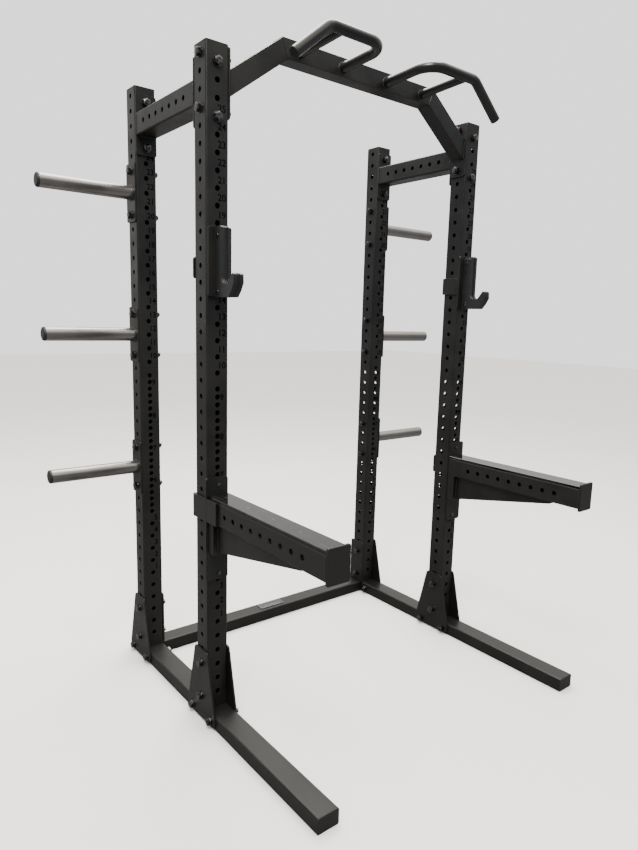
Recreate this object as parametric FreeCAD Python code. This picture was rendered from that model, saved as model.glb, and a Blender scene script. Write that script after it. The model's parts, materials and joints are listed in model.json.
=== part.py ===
"""Half rack with pull-up bar, plate horns, lift-off J-cups and lift-off spotter arms.

Frame of the part: +Z up, floor at Z = 0, X = 0 on the mirror plane, -Y towards the lifter.
Inside this script Y = 0 lies midway between the front and rear uprights, heights called
"drop" are measured down from the top hole of an upright, and "reach" is measured forwards
from the front face of a front upright. Everything is in millimetres.
"""
import math
import os

import FreeCAD
import Part

Vector = FreeCAD.Vector

# ---- driving dimensions -------------------------------------------------------------
UPRIGHT_SPACING_X = 1150.0      # centre to centre, left to right
UPRIGHT_SPACING_Y = 512.0       # centre to centre, front to rear
TUBE = 75.0                     # outside of the square frame tube
WALL = 3.0
TUBE_RADIUS = 6.0               # outside corner radius of the frame tube
RAIL_HEIGHT = 50.0
TOP_HOLE_Z = 2083.0             # height of the top hole above the floor
TOP_MARGIN = 50.0               # upright end above its top hole
HOLE_RADIUS = 8.5
HOLE_PITCH = 50.0
FINE_FIRST_DROP = 950.0         # the front holes are at half pitch from here
FINE_LAST_DROP = 1475.0         # to here
LAST_DROP = 1975.0
SIDE_FIRST_DROP = -25.0
SIDE_LAST_DROP = 1875.0
PLATE = 6.0                     # thickness of the bolted plates
SLIDE_GAP = 0.3                 # play between an upright and an attachment
OVERRUN = 1.0                   # how far a cutter runs past what it cuts

HALF = TUBE / 2
LEFT_X = -UPRIGHT_SPACING_X / 2
OUTER_X = LEFT_X - HALF         # outboard face of a left upright
INNER_X = LEFT_X + HALF         # inboard face of a left upright
FRONT_Y = -UPRIGHT_SPACING_Y / 2
REAR_Y = UPRIGHT_SPACING_Y / 2
FRONT_FACE_Y = FRONT_Y - HALF

# ---- floor frame --------------------------------------------------------------------
FOOT_REACH = 600.0              # length of a floor rail in front of the front upright
RAIL_REAR_Y = REAR_Y + 100.0
END_CAP = 3.0
CAP_PLUG = 12.0
CAP_PLAY = 0.2
CROSS_TUBE_Y = REAR_Y + 10.0
BADGE = (120.0, 38.0, 1.5)
BADGE_X = 15.0
RIVET_SPACING = 108.0
RIVET_RADIUS = 2.5

GUSSET_TOP_Z = 258.0
GUSSET_BOTTOM_Z = 8.0
GUSSET_TOP_HALF = 41.0
GUSSET_BOTTOM_HALF = 100.0
GUSSET_TOP_RADIUS = 12.0
GUSSET_BOTTOM_RADIUS = 20.0
GUSSET_UPPER_BOLTS_Z = (208.0, 88.0)
GUSSET_LOWER_BOLT_Y = 62.5
GUSSET_LOWER_BOLT_Z = RAIL_HEIGHT / 2

# ---- top frame ----------------------------------------------------------------------
FLANGE_HEIGHT = 200.0
FLANGE_RADIUS = 8.0
SIDE_TUBE_DROP = 75.0           # its centre line, midway between the two flange bolts
SIDE_FLANGE_DROPS = (0.0, 150.0)
SIDE_TUBE_HOLES = 7

BAR_TUBE = 60.0
BAR_Z = TOP_HOLE_Z + 100.0
BAR_BEND_X = 330.0              # where the top tube's centre line meets a riser's
PULLUP_FLANGE_DROP = 50.0
PULLUP_FLANGE_DROPS = (-25.0, 125.0)
RISER_FOOT_Z = TOP_HOLE_Z - PULLUP_FLANGE_DROP

GRIP_RADIUS = 16.5
GRIP_BORE = 13.5
GRIP_ROOT_Z = BAR_Z - 3.0
GRIP_BAR_Z = BAR_Z + 5.0
GRIP_INNER_X = 100.0
GRIP_OUTER_X = 321.0
GRIP_BAR_Y = -495.0
GRIP_END_LENGTH = 162.0
GRIP_END_ANGLE = 40.0           # of the free end below the level
GRIP_INNER_BEND = 70.0
GRIP_OUTER_BEND = 45.0
BRACE_X = 277.0
BRACE_RADIUS = 15.0
BRACE_BORE = 12.0
GRIP_PLUG = 4.0
ROOT_TRIM = 8.0                 # run of a grip or brace behind the bar's face, cut off flush

# ---- plate horns --------------------------------------------------------------------
HORN_DROPS = (300.0, 800.0, 1300.0)
HORN_BOLT_OFFSET = 75.0
HORN_RADIUS = 24.0
HORN_END_X = -932.0
HORN_CAP = 9.0
HORN_CAP_ROUND = 6.0

# ---- fasteners ----------------------------------------------------------------------
BOLT_RADIUS = 8.0
HEX_FLATS = 24.0
HEAD_HEIGHT = 10.0
NUT_HEIGHT = 13.0
THREAD_END = 4.0
WASHER_RADIUS = 15.0
WASHER_THICK = 3.0

# ---- attachments --------------------------------------------------------------------
BACK_PLATE = 8.0
PIN_RADIUS = 8.0
REAR_GAP_Y = FRONT_Y + HALF + SLIDE_GAP
PLATE_BACK = SLIDE_GAP                          # reach of a back plate's rear face
PLATE_FRONT = SLIDE_GAP + BACK_PLATE
LIP_CHAMFER = 5.0

CUP_PLATE_DROPS = (461.0, 667.0)
CUP_PLATE_OUTER_X = LEFT_X - 35.0
CUP_STRAP_DROPS = (547.0, 612.0)
CUP_STRAP_X = INNER_X + SLIDE_GAP
CUP_LIP_END_X = LEFT_X - 41.0
CUP_STRAP_BEND = 5.4            # outside radius of the strap's rear corner
CUP_PIN_DROP = 575.0
CUP_PIN_END_X = -590.0
HOOK_X = (-589.0, -554.0)
CHEEK = 12.0
CHEEK_PROUD = 2.0
CHEEK_TOP_DROP = 462.0
CHEEK_CHAMFER = 11.0            # on the inboard top corner
HOOK_FACE_REACH = 47.0          # front of the hook's stem
HOOK_FLOOR_DROP = 631.0         # where a barbell lies
HOOK_CORNER = 20.0              # radius between stem and floor
HOOK_BEND = ((78.0, 0.0), (87.0, 3.0), (93.0, 9.0))     # reach, height above the floor
HOOK_TIP = (111.0, 600.0)                               # reach, drop
HOOK_NOSE = ((117.0, 604.0), (118.5, 627.0), (106.0, 649.0), (88.0, 669.0))     # reach, drop
HOOK_STEM_CHAMFER = 5.0
CUP_SCREWS = ((26.0, 489.0), (26.0, 654.0))     # reach, drop
CUP_SCREW_RADIUS = 4.0
CUP_SCREW_HEAD = (6.5, 3.0)                     # radius, height

ARM_X = LEFT_X - SLIDE_GAP
ARM_PLATE_X = (LEFT_X - 46.0, LEFT_X + 33.0)
ARM_PLATE_DROPS = (1230.0, 1573.0)
ARM_PLATE_CHAMFER = 6.0
ARM_DROP = 1334.0
ARM_STRAP = 8.0
ARM_STRAP_REACH = 70.0
ARM_LIP_END_X = INNER_X - 1.0
ARM_PIN_DROP = 1325.0
ARM_PIN_END_X = -560.0
SPINE_REACH = PLATE_FRONT + 30.0
SPINE_BOTTOM_DROP = 1477.0
SPINE_WALL = 6.0
ARM_END_REACH = 606.0
ARM_FIRST_HOLE_REACH = 109.0
ARM_HOLES = 9
END_PLATE = (75.0, 100.0, 8.0)
END_PLATE_DROP = 1330.0
ARM_GUSSET_WIDTH = 40.0
ARM_GUSSET_WALL = 4.0
ARM_GUSSET_DROPS = (1470.0, 1384.0)             # lower edge at the spine, at the tip
ARM_GUSSET_TIP = (482.0, 494.0)                 # reach of the lower and the upper corner
ARM_GUSSET_NOSE_WALL = 12.0                     # thickness of its sloping front
STRIP_WIDTH = 73.0
STRIP_THICK = 9.0
STRIP_CHAMFER = 1.5
STRIP_SCREWS = 5
STRIP_FIRST_SCREW = 52.0
STRIP_SCREW_PITCH = 133.0
STRIP_SCREW_RADIUS = 4.5
STRIP_SCREW_DEPTH = 8.0
PLATE_SCREW_DROPS = (1252.5, 1551.5)
PLATE_SCREW_HEAD = (7.0, 3.0)
PLATE_SCREW_RADIUS = 4.0

# The part's origin is at the middle of its length in Y.
FRONT_END_Y = FRONT_FACE_Y - ARM_END_REACH - END_PLATE[2]
REAR_END_Y = RAIL_REAR_Y + END_CAP
ORIGIN_Y = (FRONT_END_Y + REAR_END_Y) / 2

X_AXIS = Vector(1, 0, 0)
Y_AXIS = Vector(0, 1, 0)
Z_AXIS = Vector(0, 0, 1)
ALONG = 0.99                    # cosine above which an edge counts as running along an axis


# ---- helpers ------------------------------------------------------------------------
def block(x_range, y_range, z_range):
    """Box between two values on each axis, given in any order."""
    lows = [min(pair) for pair in (x_range, y_range, z_range)]
    sizes = [abs(pair[1] - pair[0]) for pair in (x_range, y_range, z_range)]
    return Part.makeBox(*sizes, Vector(*lows))


def edges_along(solid, axis):
    """Edges of a solid that run along an axis."""
    return [e for e in solid.Edges if abs(e.tangentAt(e.FirstParameter).dot(axis)) > ALONG]


def rounded(solid, axis, radius):
    """Round the straight edges of a box that run along an axis."""
    return solid.makeFillet(radius, edges_along(solid, axis))


def box_tube(x_range, y_range, z_range, axis, wall=WALL, radius=TUBE_RADIUS):
    """Rectangular tube along an axis, open at both ends."""
    outer = rounded(block(x_range, y_range, z_range), axis, radius)
    ranges = []
    for pair, direction in zip((x_range, y_range, z_range), (X_AXIS, Y_AXIS, Z_AXIS)):
        low, high = min(pair), max(pair)
        inset = -wall if direction == axis else wall
        ranges.append((low + inset, high - inset))
    inner = rounded(block(*ranges), axis, radius - wall)
    return outer.cut(inner)


def rod(start, axis, radius, length):
    """Round bar from a point along an axis."""
    return Part.makeCylinder(radius, length, start, axis)


def prism(outline, direction, depth):
    """Solid from a closed outline of points, pushed along a direction."""
    wire = Part.makePolygon(outline + [outline[0]])
    return Part.Face(wire).extrude(direction * depth)


def hexagon(start, axis, height):
    """Six-sided head or nut from a point along an axis."""
    side = Y_AXIS if abs(axis.dot(X_AXIS)) > 0.5 else X_AXIS
    across = axis.cross(side)
    corner = HEX_FLATS / math.sqrt(3)
    outline = []
    for step in range(6):
        angle = math.radians(60 * step)
        outline.append(start + side * (corner * math.cos(angle)) + across * (corner * math.sin(angle)))
    return prism(outline, axis, height)


def mirrored(shape):
    """Copy on the other side of the mirror plane."""
    return shape.mirror(Vector(0, 0, 0), X_AXIS)


def both_sides(shapes):
    """The given left-hand solids and their right-hand copies."""
    return shapes + [mirrored(shape) for shape in shapes]


def at_drop(drop):
    """Height above the floor of a drop below the top hole."""
    return TOP_HOLE_Z - drop


def at_reach(reach):
    """Y of a distance in front of a front upright."""
    return FRONT_FACE_Y - reach


def save(name, solids):
    """Write one node, moved to the part's origin."""
    shape = solids[0] if len(solids) == 1 else Part.makeCompound(solids)
    shape = shape.copy()
    shape.translate(Vector(0, -ORIGIN_Y, 0))
    shape.exportStep("parts/" + name + ".step")
    print(name, len(shape.Solids), "solids", round(shape.Volume / 1000), "cm3", shape.isValid())


def save_pair(base, shapes_of):
    """Write the left-hand node and its mirror image."""
    for name, solids in shapes_of.items():
        save(base + "_left_" + name, solids)
        save(base + "_right_" + name, [mirrored(solid) for solid in solids])


# ---- uprights and floor frame -------------------------------------------------------
def front_hole_drops():
    """Drops of the holes on the front and rear faces, wide, half and wide pitch."""
    drops = []
    drop = 0.0
    while drop <= LAST_DROP:
        drops.append(drop)
        fine = FINE_FIRST_DROP <= drop < FINE_LAST_DROP
        drop += HOLE_PITCH / 2 if fine else HOLE_PITCH
    return drops


def side_hole_drops():
    """Drops of the holes on the side faces, and of the lower gusset bolt."""
    count = round((SIDE_LAST_DROP - SIDE_FIRST_DROP) / HOLE_PITCH) + 1
    drops = [SIDE_FIRST_DROP + HOLE_PITCH * step for step in range(count)]
    return drops + [TOP_HOLE_Z - GUSSET_UPPER_BOLTS_Z[1]]


def upright(y):
    """Left upright at a Y, drilled on all four faces."""
    z_range = (RAIL_HEIGHT, TOP_HOLE_Z + TOP_MARGIN)
    tube = box_tube((OUTER_X, INNER_X), (y - HALF, y + HALF), z_range, Z_AXIS)
    drills = []
    for drop in front_hole_drops():
        start = Vector(LEFT_X, y - TUBE, at_drop(drop))
        drills.append(rod(start, Y_AXIS, HOLE_RADIUS, 2 * TUBE))
    for drop in side_hole_drops():
        start = Vector(LEFT_X - TUBE, y, at_drop(drop))
        drills.append(rod(start, X_AXIS, HOLE_RADIUS, 2 * TUBE))
    return tube.cut(drills)


def upright_cap(y):
    """Plastic plug on top of an upright."""
    top = TOP_HOLE_Z + TOP_MARGIN
    lid = rounded(block((OUTER_X, INNER_X), (y - HALF, y + HALF), (top, top + END_CAP)), Z_AXIS, TUBE_RADIUS)
    inside = HALF - WALL - CAP_PLAY
    plug = block((LEFT_X - inside, LEFT_X + inside), (y - inside, y + inside), (top - CAP_PLUG, top))
    return lid.fuse(rounded(plug, Z_AXIS, TUBE_RADIUS - WALL)).removeSplitter()


def base_rail():
    """Left floor rail, drilled for the lower gusset bolts."""
    rail = box_tube((OUTER_X, INNER_X), (at_reach(FOOT_REACH), RAIL_REAR_Y), (0, RAIL_HEIGHT), Y_AXIS)
    drills = []
    for y in (FRONT_Y, REAR_Y):
        for side in (-GUSSET_LOWER_BOLT_Y, GUSSET_LOWER_BOLT_Y):
            start = Vector(LEFT_X - TUBE, y + side, GUSSET_LOWER_BOLT_Z)
            drills.append(rod(start, X_AXIS, HOLE_RADIUS, 2 * TUBE))
    return rail.cut(drills)


def rail_cap(y, outwards):
    """Plastic plug in the end of a floor rail; outwards is -1 at the front, 1 at the rear."""
    lid = block((OUTER_X, INNER_X), (y, y + outwards * END_CAP), (0, RAIL_HEIGHT))
    lid = rounded(lid, Y_AXIS, TUBE_RADIUS)
    inside_x = HALF - WALL - CAP_PLAY
    inside_z = WALL + CAP_PLAY
    plug = block((LEFT_X - inside_x, LEFT_X + inside_x), (y, y - outwards * CAP_PLUG),
                 (inside_z, RAIL_HEIGHT - inside_z))
    return lid.fuse(rounded(plug, Y_AXIS, TUBE_RADIUS - WALL)).removeSplitter()


def gusset_plate(y, x):
    """Tapered plate beside an upright, from x towards +X."""
    outline = [Vector(x, y - GUSSET_BOTTOM_HALF, GUSSET_BOTTOM_Z),
               Vector(x, y + GUSSET_BOTTOM_HALF, GUSSET_BOTTOM_Z),
               Vector(x, y + GUSSET_TOP_HALF, GUSSET_TOP_Z),
               Vector(x, y - GUSSET_TOP_HALF, GUSSET_TOP_Z)]
    plate = prism(outline, X_AXIS, PLATE)
    lower = [e for e in edges_along(plate, X_AXIS) if e.CenterOfMass.z < RAIL_HEIGHT]
    plate = plate.makeFillet(GUSSET_BOTTOM_RADIUS, lower)
    upper = [e for e in edges_along(plate, X_AXIS) if e.CenterOfMass.z > GUSSET_TOP_Z - OVERRUN]
    plate = plate.makeFillet(GUSSET_TOP_RADIUS, upper)
    points = [(y, z) for z in GUSSET_UPPER_BOLTS_Z]
    points += [(y + side, GUSSET_LOWER_BOLT_Z) for side in (-GUSSET_LOWER_BOLT_Y, GUSSET_LOWER_BOLT_Y)]
    return plate.cut([rod(Vector(x - PLATE, py, pz), X_AXIS, HOLE_RADIUS, 3 * PLATE) for py, pz in points])


def cross_end_plate():
    """Upright plate that joins the rear floor tube to the left rear upright."""
    plate = block((INNER_X, INNER_X + PLATE), (REAR_Y - HALF, CROSS_TUBE_Y + HALF),
                  (RAIL_HEIGHT, GUSSET_TOP_Z))
    plate = rounded(plate, X_AXIS, FLANGE_RADIUS)
    foot = block((INNER_X, INNER_X + PLATE), (CROSS_TUBE_Y - HALF, CROSS_TUBE_Y + HALF),
                 (0, RAIL_HEIGHT + 2 * FLANGE_RADIUS))
    plate = plate.fuse(foot).removeSplitter()
    return plate.cut([rod(Vector(INNER_X - PLATE, REAR_Y, z), X_AXIS, HOLE_RADIUS, 3 * PLATE)
                      for z in GUSSET_UPPER_BOLTS_Z])


def badge():
    """Blank name plate on the rear floor tube, with its two rivets."""
    length, width, thick = BADGE
    plate = block((BADGE_X - length / 2, BADGE_X + length / 2),
                  (CROSS_TUBE_Y - width / 2, CROSS_TUBE_Y + width / 2), (RAIL_HEIGHT, RAIL_HEIGHT + thick))
    plate = rounded(plate, Z_AXIS, RIVET_RADIUS)
    solids = [plate]
    for side in (-1, 1):
        start = Vector(BADGE_X + side * RIVET_SPACING / 2, CROSS_TUBE_Y, RAIL_HEIGHT + thick)
        solids.append(rod(start, Z_AXIS, RIVET_RADIUS, thick))
    return solids


def build_floor_frame():
    """Rails, uprights, gussets and the rear floor tube."""
    save("base_rail_left", [base_rail()])
    save("base_rail_right", [mirrored(base_rail())])
    caps = [rail_cap(at_reach(FOOT_REACH), -1), rail_cap(RAIL_REAR_Y, 1)]
    save("rail_end_caps", both_sides(caps))
    for place, y in (("front", FRONT_Y), ("rear", REAR_Y)):
        save("upright_" + place + "_left", [upright(y)])
        save("upright_" + place + "_right", [mirrored(upright(y))])
    save("upright_caps", both_sides([upright_cap(FRONT_Y), upright_cap(REAR_Y)]))
    plates = [gusset_plate(FRONT_Y, OUTER_X - PLATE), gusset_plate(FRONT_Y, INNER_X),
              gusset_plate(REAR_Y, OUTER_X - PLATE)]
    save("gusset_plates", both_sides(plates))
    end_x = INNER_X + PLATE
    cross = box_tube((end_x, -end_x), (CROSS_TUBE_Y - HALF, CROSS_TUBE_Y + HALF), (0, RAIL_HEIGHT), X_AXIS)
    save("rear_cross_tube", [cross])
    save("cross_tube_end_plates", both_sides([cross_end_plate()]))
    save("blank_name_plate", badge())


# ---- top frame ----------------------------------------------------------------------
def flange(x_range, y_range, centre_z, axis, bolts_z):
    """End plate with two bolt holes, its thickness along the given axis."""
    half = FLANGE_HEIGHT / 2
    plate = rounded(block(x_range, y_range, (centre_z - half, centre_z + half)), axis, FLANGE_RADIUS)
    middle = Vector(sum(x_range) / 2, sum(y_range) / 2, 0)
    drills = [rod(middle + Z_AXIS * z - axis * PLATE, axis, HOLE_RADIUS, 2 * PLATE) for z in bolts_z]
    return plate.cut(drills)


def end_flanges():
    """The two flanges of each side tube and the two of the pull-up bar."""
    side_z = [at_drop(drop) for drop in SIDE_FLANGE_DROPS]
    pullup_z = [at_drop(drop) for drop in PULLUP_FLANGE_DROPS]
    inner_front = FRONT_Y + HALF
    inner_rear = REAR_Y - HALF
    plates = [flange((OUTER_X, INNER_X), (inner_front, inner_front + PLATE), at_drop(SIDE_TUBE_DROP),
                     Y_AXIS, side_z),
              flange((OUTER_X, INNER_X), (inner_rear - PLATE, inner_rear), at_drop(SIDE_TUBE_DROP),
                     Y_AXIS, side_z),
              flange((INNER_X, INNER_X + PLATE), (FRONT_Y - HALF, FRONT_Y + HALF),
                     at_drop(PULLUP_FLANGE_DROP), X_AXIS, pullup_z)]
    return both_sides(plates)


def side_tube():
    """Left top tube between the flanges, with a row of holes."""
    z = at_drop(SIDE_TUBE_DROP)
    end_y = REAR_Y - HALF - PLATE
    tube = box_tube((OUTER_X, INNER_X), (-end_y, end_y), (z - HALF, z + HALF), Y_AXIS)
    first = -HOLE_PITCH * (SIDE_TUBE_HOLES - 1) / 2
    drills = [rod(Vector(LEFT_X - TUBE, first + HOLE_PITCH * step, z), X_AXIS, HOLE_RADIUS, 2 * TUBE)
              for step in range(SIDE_TUBE_HOLES)]
    return tube.cut(drills)


def bar_outline(half, slope_reach):
    """Corner points of the sloping riser's box, half its size away from its centre line."""
    run = -BAR_BEND_X - (INNER_X + PLATE)
    rise = BAR_Z - RISER_FOOT_Z
    angle = math.atan2(rise, run)
    shift = half * math.tan(angle / 2)
    foot = half / math.cos(angle)
    foot_x = INNER_X + PLATE - slope_reach
    slope = rise / run
    upper = Vector(-BAR_BEND_X - shift, 0, BAR_Z + half)
    lower = Vector(-BAR_BEND_X + shift, 0, BAR_Z - half)
    foot_z = RISER_FOOT_Z - slope * slope_reach
    return upper, lower, Vector(foot_x, 0, foot_z - foot), Vector(foot_x, 0, foot_z + foot)


def pullup_tubes():
    """Raised top tube and the left riser, mitred where they meet."""
    outer, inner = BAR_TUBE / 2, BAR_TUBE / 2 - WALL
    solids = []
    for half, reach in ((outer, 0.0), (inner, BAR_TUBE)):
        corners = bar_outline(half, reach)
        upper, lower = corners[:2]
        level = [upper, lower, Vector(-lower.x, 0, lower.z), Vector(-upper.x, 0, upper.z)]
        for outline in (level, list(corners)):
            moved = [point + Vector(0, FRONT_Y - half, 0) for point in outline]
            solids.append(prism(moved, Y_AXIS, 2 * half))
    return solids[0].cut(solids[2]), solids[1].cut(solids[3])


def bent_tube(points, bends, radius):
    """Round bar along straight runs joined by tangent arcs of the given radii."""
    edges = []
    start = points[0]
    for index, bend in enumerate(bends, start=1):
        before = (points[index] - points[index - 1]).normalize()
        after = (points[index + 1] - points[index]).normalize()
        turn = math.acos(before.dot(after))
        setback = bend * math.tan(turn / 2)
        arc_start = points[index] - before * setback
        arc_end = points[index] + after * setback
        bisector = (after - before).normalize()
        arc_middle = points[index] + bisector * (bend / math.cos(turn / 2) - bend)
        edges.append(Part.makeLine(start, arc_start))
        edges.append(Part.Arc(arc_start, arc_middle, arc_end).toShape())
        start = arc_end
    edges.append(Part.makeLine(start, points[-1]))
    profile = Part.Wire(Part.makeCircle(radius, points[0], points[1] - points[0]))
    return Part.Wire(edges).makePipeShell([profile], True, True)


def grip_points():
    """Centre line of the left grip, from the bar's front face to the free end."""
    angle = math.radians(GRIP_END_ANGLE)
    outwards = Vector(-math.cos(angle), 0, -math.sin(angle))
    outer = Vector(-GRIP_OUTER_X, GRIP_BAR_Y, GRIP_BAR_Z)
    return [Vector(-GRIP_INNER_X, FRONT_Y - BAR_TUBE / 2, GRIP_ROOT_Z),
            Vector(-GRIP_INNER_X, GRIP_BAR_Y, GRIP_BAR_Z), outer, outer + outwards * GRIP_END_LENGTH]


def run_back(start, towards):
    """Point on the line through two points, a trim's length behind the start."""
    return start - (towards - start).normalize() * ROOT_TRIM


def bar_front():
    """Solid that trims a tube flush with the bar's front face."""
    face = FRONT_Y - BAR_TUBE / 2
    return block((-GRIP_OUTER_X, 0), (face, face + BAR_TUBE), (BAR_Z - BAR_TUBE / 2, BAR_Z + BAR_TUBE / 2))


def grip():
    """Left bent grip tube."""
    points = grip_points()
    points[0] = run_back(points[0], points[1])
    bends = (GRIP_INNER_BEND, GRIP_OUTER_BEND)
    tube = bent_tube(points, bends, GRIP_RADIUS).cut(bent_tube(points, bends, GRIP_BORE))
    return tube.cut(bar_front())


def grip_brace():
    """Left brace between the bar and the grip, shaped to the grip's round side."""
    end = Vector(-BRACE_X, GRIP_BAR_Y, GRIP_BAR_Z)
    start = run_back(Vector(-BRACE_X, FRONT_Y - BAR_TUBE / 2, GRIP_ROOT_Z), end)
    way = end - start
    length = way.Length
    tube = rod(start, way, BRACE_RADIUS, length).cut(rod(start, way, BRACE_BORE, length))
    crossbar = rod(Vector(-GRIP_OUTER_X, GRIP_BAR_Y, GRIP_BAR_Z), X_AXIS, GRIP_RADIUS, GRIP_OUTER_X)
    return tube.cut(crossbar).cut(bar_front())


def grip_plug():
    """Plug in the left grip's free end."""
    points = grip_points()
    outwards = (points[-1] - points[-2]).normalize()
    lid = rod(points[-1], outwards, GRIP_RADIUS, GRIP_PLUG)
    stem = rod(points[-1] - outwards * CAP_PLUG, outwards, GRIP_BORE - CAP_PLAY, CAP_PLUG)
    return lid.fuse(stem).removeSplitter()


def build_top_frame():
    """Side tubes, pull-up bar and grips."""
    save("side_tube_left", [side_tube()])
    save("side_tube_right", [mirrored(side_tube())])
    save("end_flanges", end_flanges())
    top_tube, riser = pullup_tubes()
    save("pullup_top_tube", [top_tube])
    save("pullup_risers", both_sides([riser]))
    save("pullup_grip_left", [grip()])
    save("pullup_grip_right", [mirrored(grip())])
    save("pullup_braces", both_sides([grip_brace()]))
    save("grip_end_plugs", both_sides([grip_plug()]))


# ---- plate horns --------------------------------------------------------------------
def horn_plate(drop):
    """Bolted plate that carries one horn."""
    z = at_drop(drop)
    bolts = (z - HORN_BOLT_OFFSET, z + HORN_BOLT_OFFSET)
    return flange((OUTER_X - PLATE, OUTER_X), (REAR_Y - HALF, REAR_Y + HALF), z, X_AXIS, bolts)


def horn_tube(drop):
    """Round tube that weight plates are hung on."""
    start = Vector(HORN_END_X, REAR_Y, at_drop(drop))
    length = OUTER_X - PLATE - HORN_END_X
    return rod(start, X_AXIS, HORN_RADIUS, length).cut(rod(start, X_AXIS, HORN_RADIUS - WALL, length))


def horn_cap(drop):
    """Rounded plug in a horn's outer end."""
    start = Vector(HORN_END_X, REAR_Y, at_drop(drop))
    dome = rod(start, X_AXIS * -1, HORN_RADIUS, HORN_CAP)
    rim = [e for e in dome.Edges if e.CenterOfMass.x < HORN_END_X - HORN_CAP / 2 and e.Length > HORN_RADIUS]
    dome = dome.makeFillet(HORN_CAP_ROUND, [e for e in rim if e.isClosed()])
    stem = rod(start, X_AXIS, HORN_RADIUS - WALL - CAP_PLAY, CAP_PLUG)
    return dome.fuse(stem).removeSplitter()


def build_horns():
    """Six horns, three on each rear upright."""
    save("horn_plates", both_sides([horn_plate(drop) for drop in HORN_DROPS]))
    save("horn_tubes", both_sides([horn_tube(drop) for drop in HORN_DROPS]))
    save("horn_end_caps", both_sides([horn_cap(drop) for drop in HORN_DROPS]))


# ---- fasteners ----------------------------------------------------------------------
def bolt_places():
    """Head-side point, direction and clamped length of every left-hand bolt."""
    places = []
    outer_plate_x = OUTER_X - PLATE
    double = TUBE + 2 * PLATE
    single = TUBE + PLATE
    for y in (FRONT_Y, REAR_Y):
        for z in GUSSET_UPPER_BOLTS_Z:
            places.append((Vector(outer_plate_x, y, z), X_AXIS, double))
        lower = double if y == FRONT_Y else single
        for side in (-GUSSET_LOWER_BOLT_Y, GUSSET_LOWER_BOLT_Y):
            places.append((Vector(outer_plate_x, y + side, GUSSET_LOWER_BOLT_Z), X_AXIS, lower))
    for drop in PULLUP_FLANGE_DROPS:
        places.append((Vector(OUTER_X, FRONT_Y, at_drop(drop)), X_AXIS, single))
    for drop in SIDE_FLANGE_DROPS:
        places.append((Vector(LEFT_X, FRONT_FACE_Y, at_drop(drop)), Y_AXIS, single))
        places.append((Vector(LEFT_X, REAR_Y + HALF, at_drop(drop)), Y_AXIS * -1, single))
    for drop in HORN_DROPS:
        for offset in (-HORN_BOLT_OFFSET, HORN_BOLT_OFFSET):
            places.append((Vector(outer_plate_x, REAR_Y, at_drop(drop + offset)), X_AXIS, single))
    return places


def hex_bolt(point, axis, grip_length):
    """Bolt with its washer face at a point, running along an axis."""
    head = hexagon(point - axis * (WASHER_THICK + HEAD_HEIGHT), axis, HEAD_HEIGHT)
    length = grip_length + 2 * WASHER_THICK + NUT_HEIGHT + THREAD_END
    shank = rod(point - axis * WASHER_THICK, axis, BOLT_RADIUS, length)
    return head.fuse(shank).removeSplitter()


def washer_pair(point, axis, grip_length):
    """Washers under the head and under the nut."""
    pair = []
    for start in (point - axis * WASHER_THICK, point + axis * grip_length):
        disc = rod(start, axis, WASHER_RADIUS, WASHER_THICK)
        bore = rod(start - axis * OVERRUN, axis, BOLT_RADIUS, WASHER_THICK + 2 * OVERRUN)
        pair.append(disc.cut(bore))
    return pair


def hex_nut(point, axis, grip_length):
    """Nut behind the far washer."""
    start = point + axis * (grip_length + WASHER_THICK)
    bore = rod(start - axis * OVERRUN, axis, BOLT_RADIUS, NUT_HEIGHT + 2 * OVERRUN)
    return hexagon(start, axis, NUT_HEIGHT).cut(bore)


def build_fasteners():
    """All the frame's bolts, washers and nuts."""
    places = bolt_places()
    save("hex_bolts", both_sides([hex_bolt(*place) for place in places]))
    save("washers", both_sides([ring for place in places for ring in washer_pair(*place)]))
    save("hex_nuts", both_sides([hex_nut(*place) for place in places]))


# ---- J-cups -------------------------------------------------------------------------
def lip_bevels(x, z_range, x_inwards):
    """Corner cutters for the free end of a rear lip."""
    cutters = []
    y = REAR_GAP_Y - OVERRUN
    depth = ARM_STRAP + 2 * OVERRUN
    for z, up in ((min(z_range), 1), (max(z_range), -1)):
        outline = [Vector(x, y, z), Vector(x + x_inwards * LIP_CHAMFER, y, z),
                   Vector(x, y, z + up * LIP_CHAMFER)]
        cutters.append(prism(outline, Y_AXIS, depth))
    return cutters


def rear_corner(strap, outer_x):
    """Upright outside edge where a strap's side turns into its rear lip."""
    return [e for e in edges_along(strap, Z_AXIS) if abs(e.CenterOfMass.x - outer_x) < OVERRUN
            and e.CenterOfMass.y > REAR_GAP_Y + PLATE / 2]


def cup_strap():
    """Inboard side strap of the left J-cup with the lip behind the upright."""
    z_range = (at_drop(CUP_STRAP_DROPS[0]), at_drop(CUP_STRAP_DROPS[1]))
    outer_x = CUP_STRAP_X + PLATE
    side = block((CUP_STRAP_X, outer_x), (at_reach(PLATE_BACK), REAR_GAP_Y + PLATE), z_range)
    lip = block((CUP_LIP_END_X, outer_x), (REAR_GAP_Y, REAR_GAP_Y + PLATE), z_range)
    strap = side.fuse(lip).removeSplitter()
    strap = strap.makeFillet(CUP_STRAP_BEND, rear_corner(strap, outer_x))
    return strap.cut(lip_bevels(CUP_LIP_END_X, z_range, 1))


def hook_point(reach, drop):
    """Point of the hook's outline, on X = 0."""
    return Vector(0, at_reach(reach), at_drop(drop))


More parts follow.
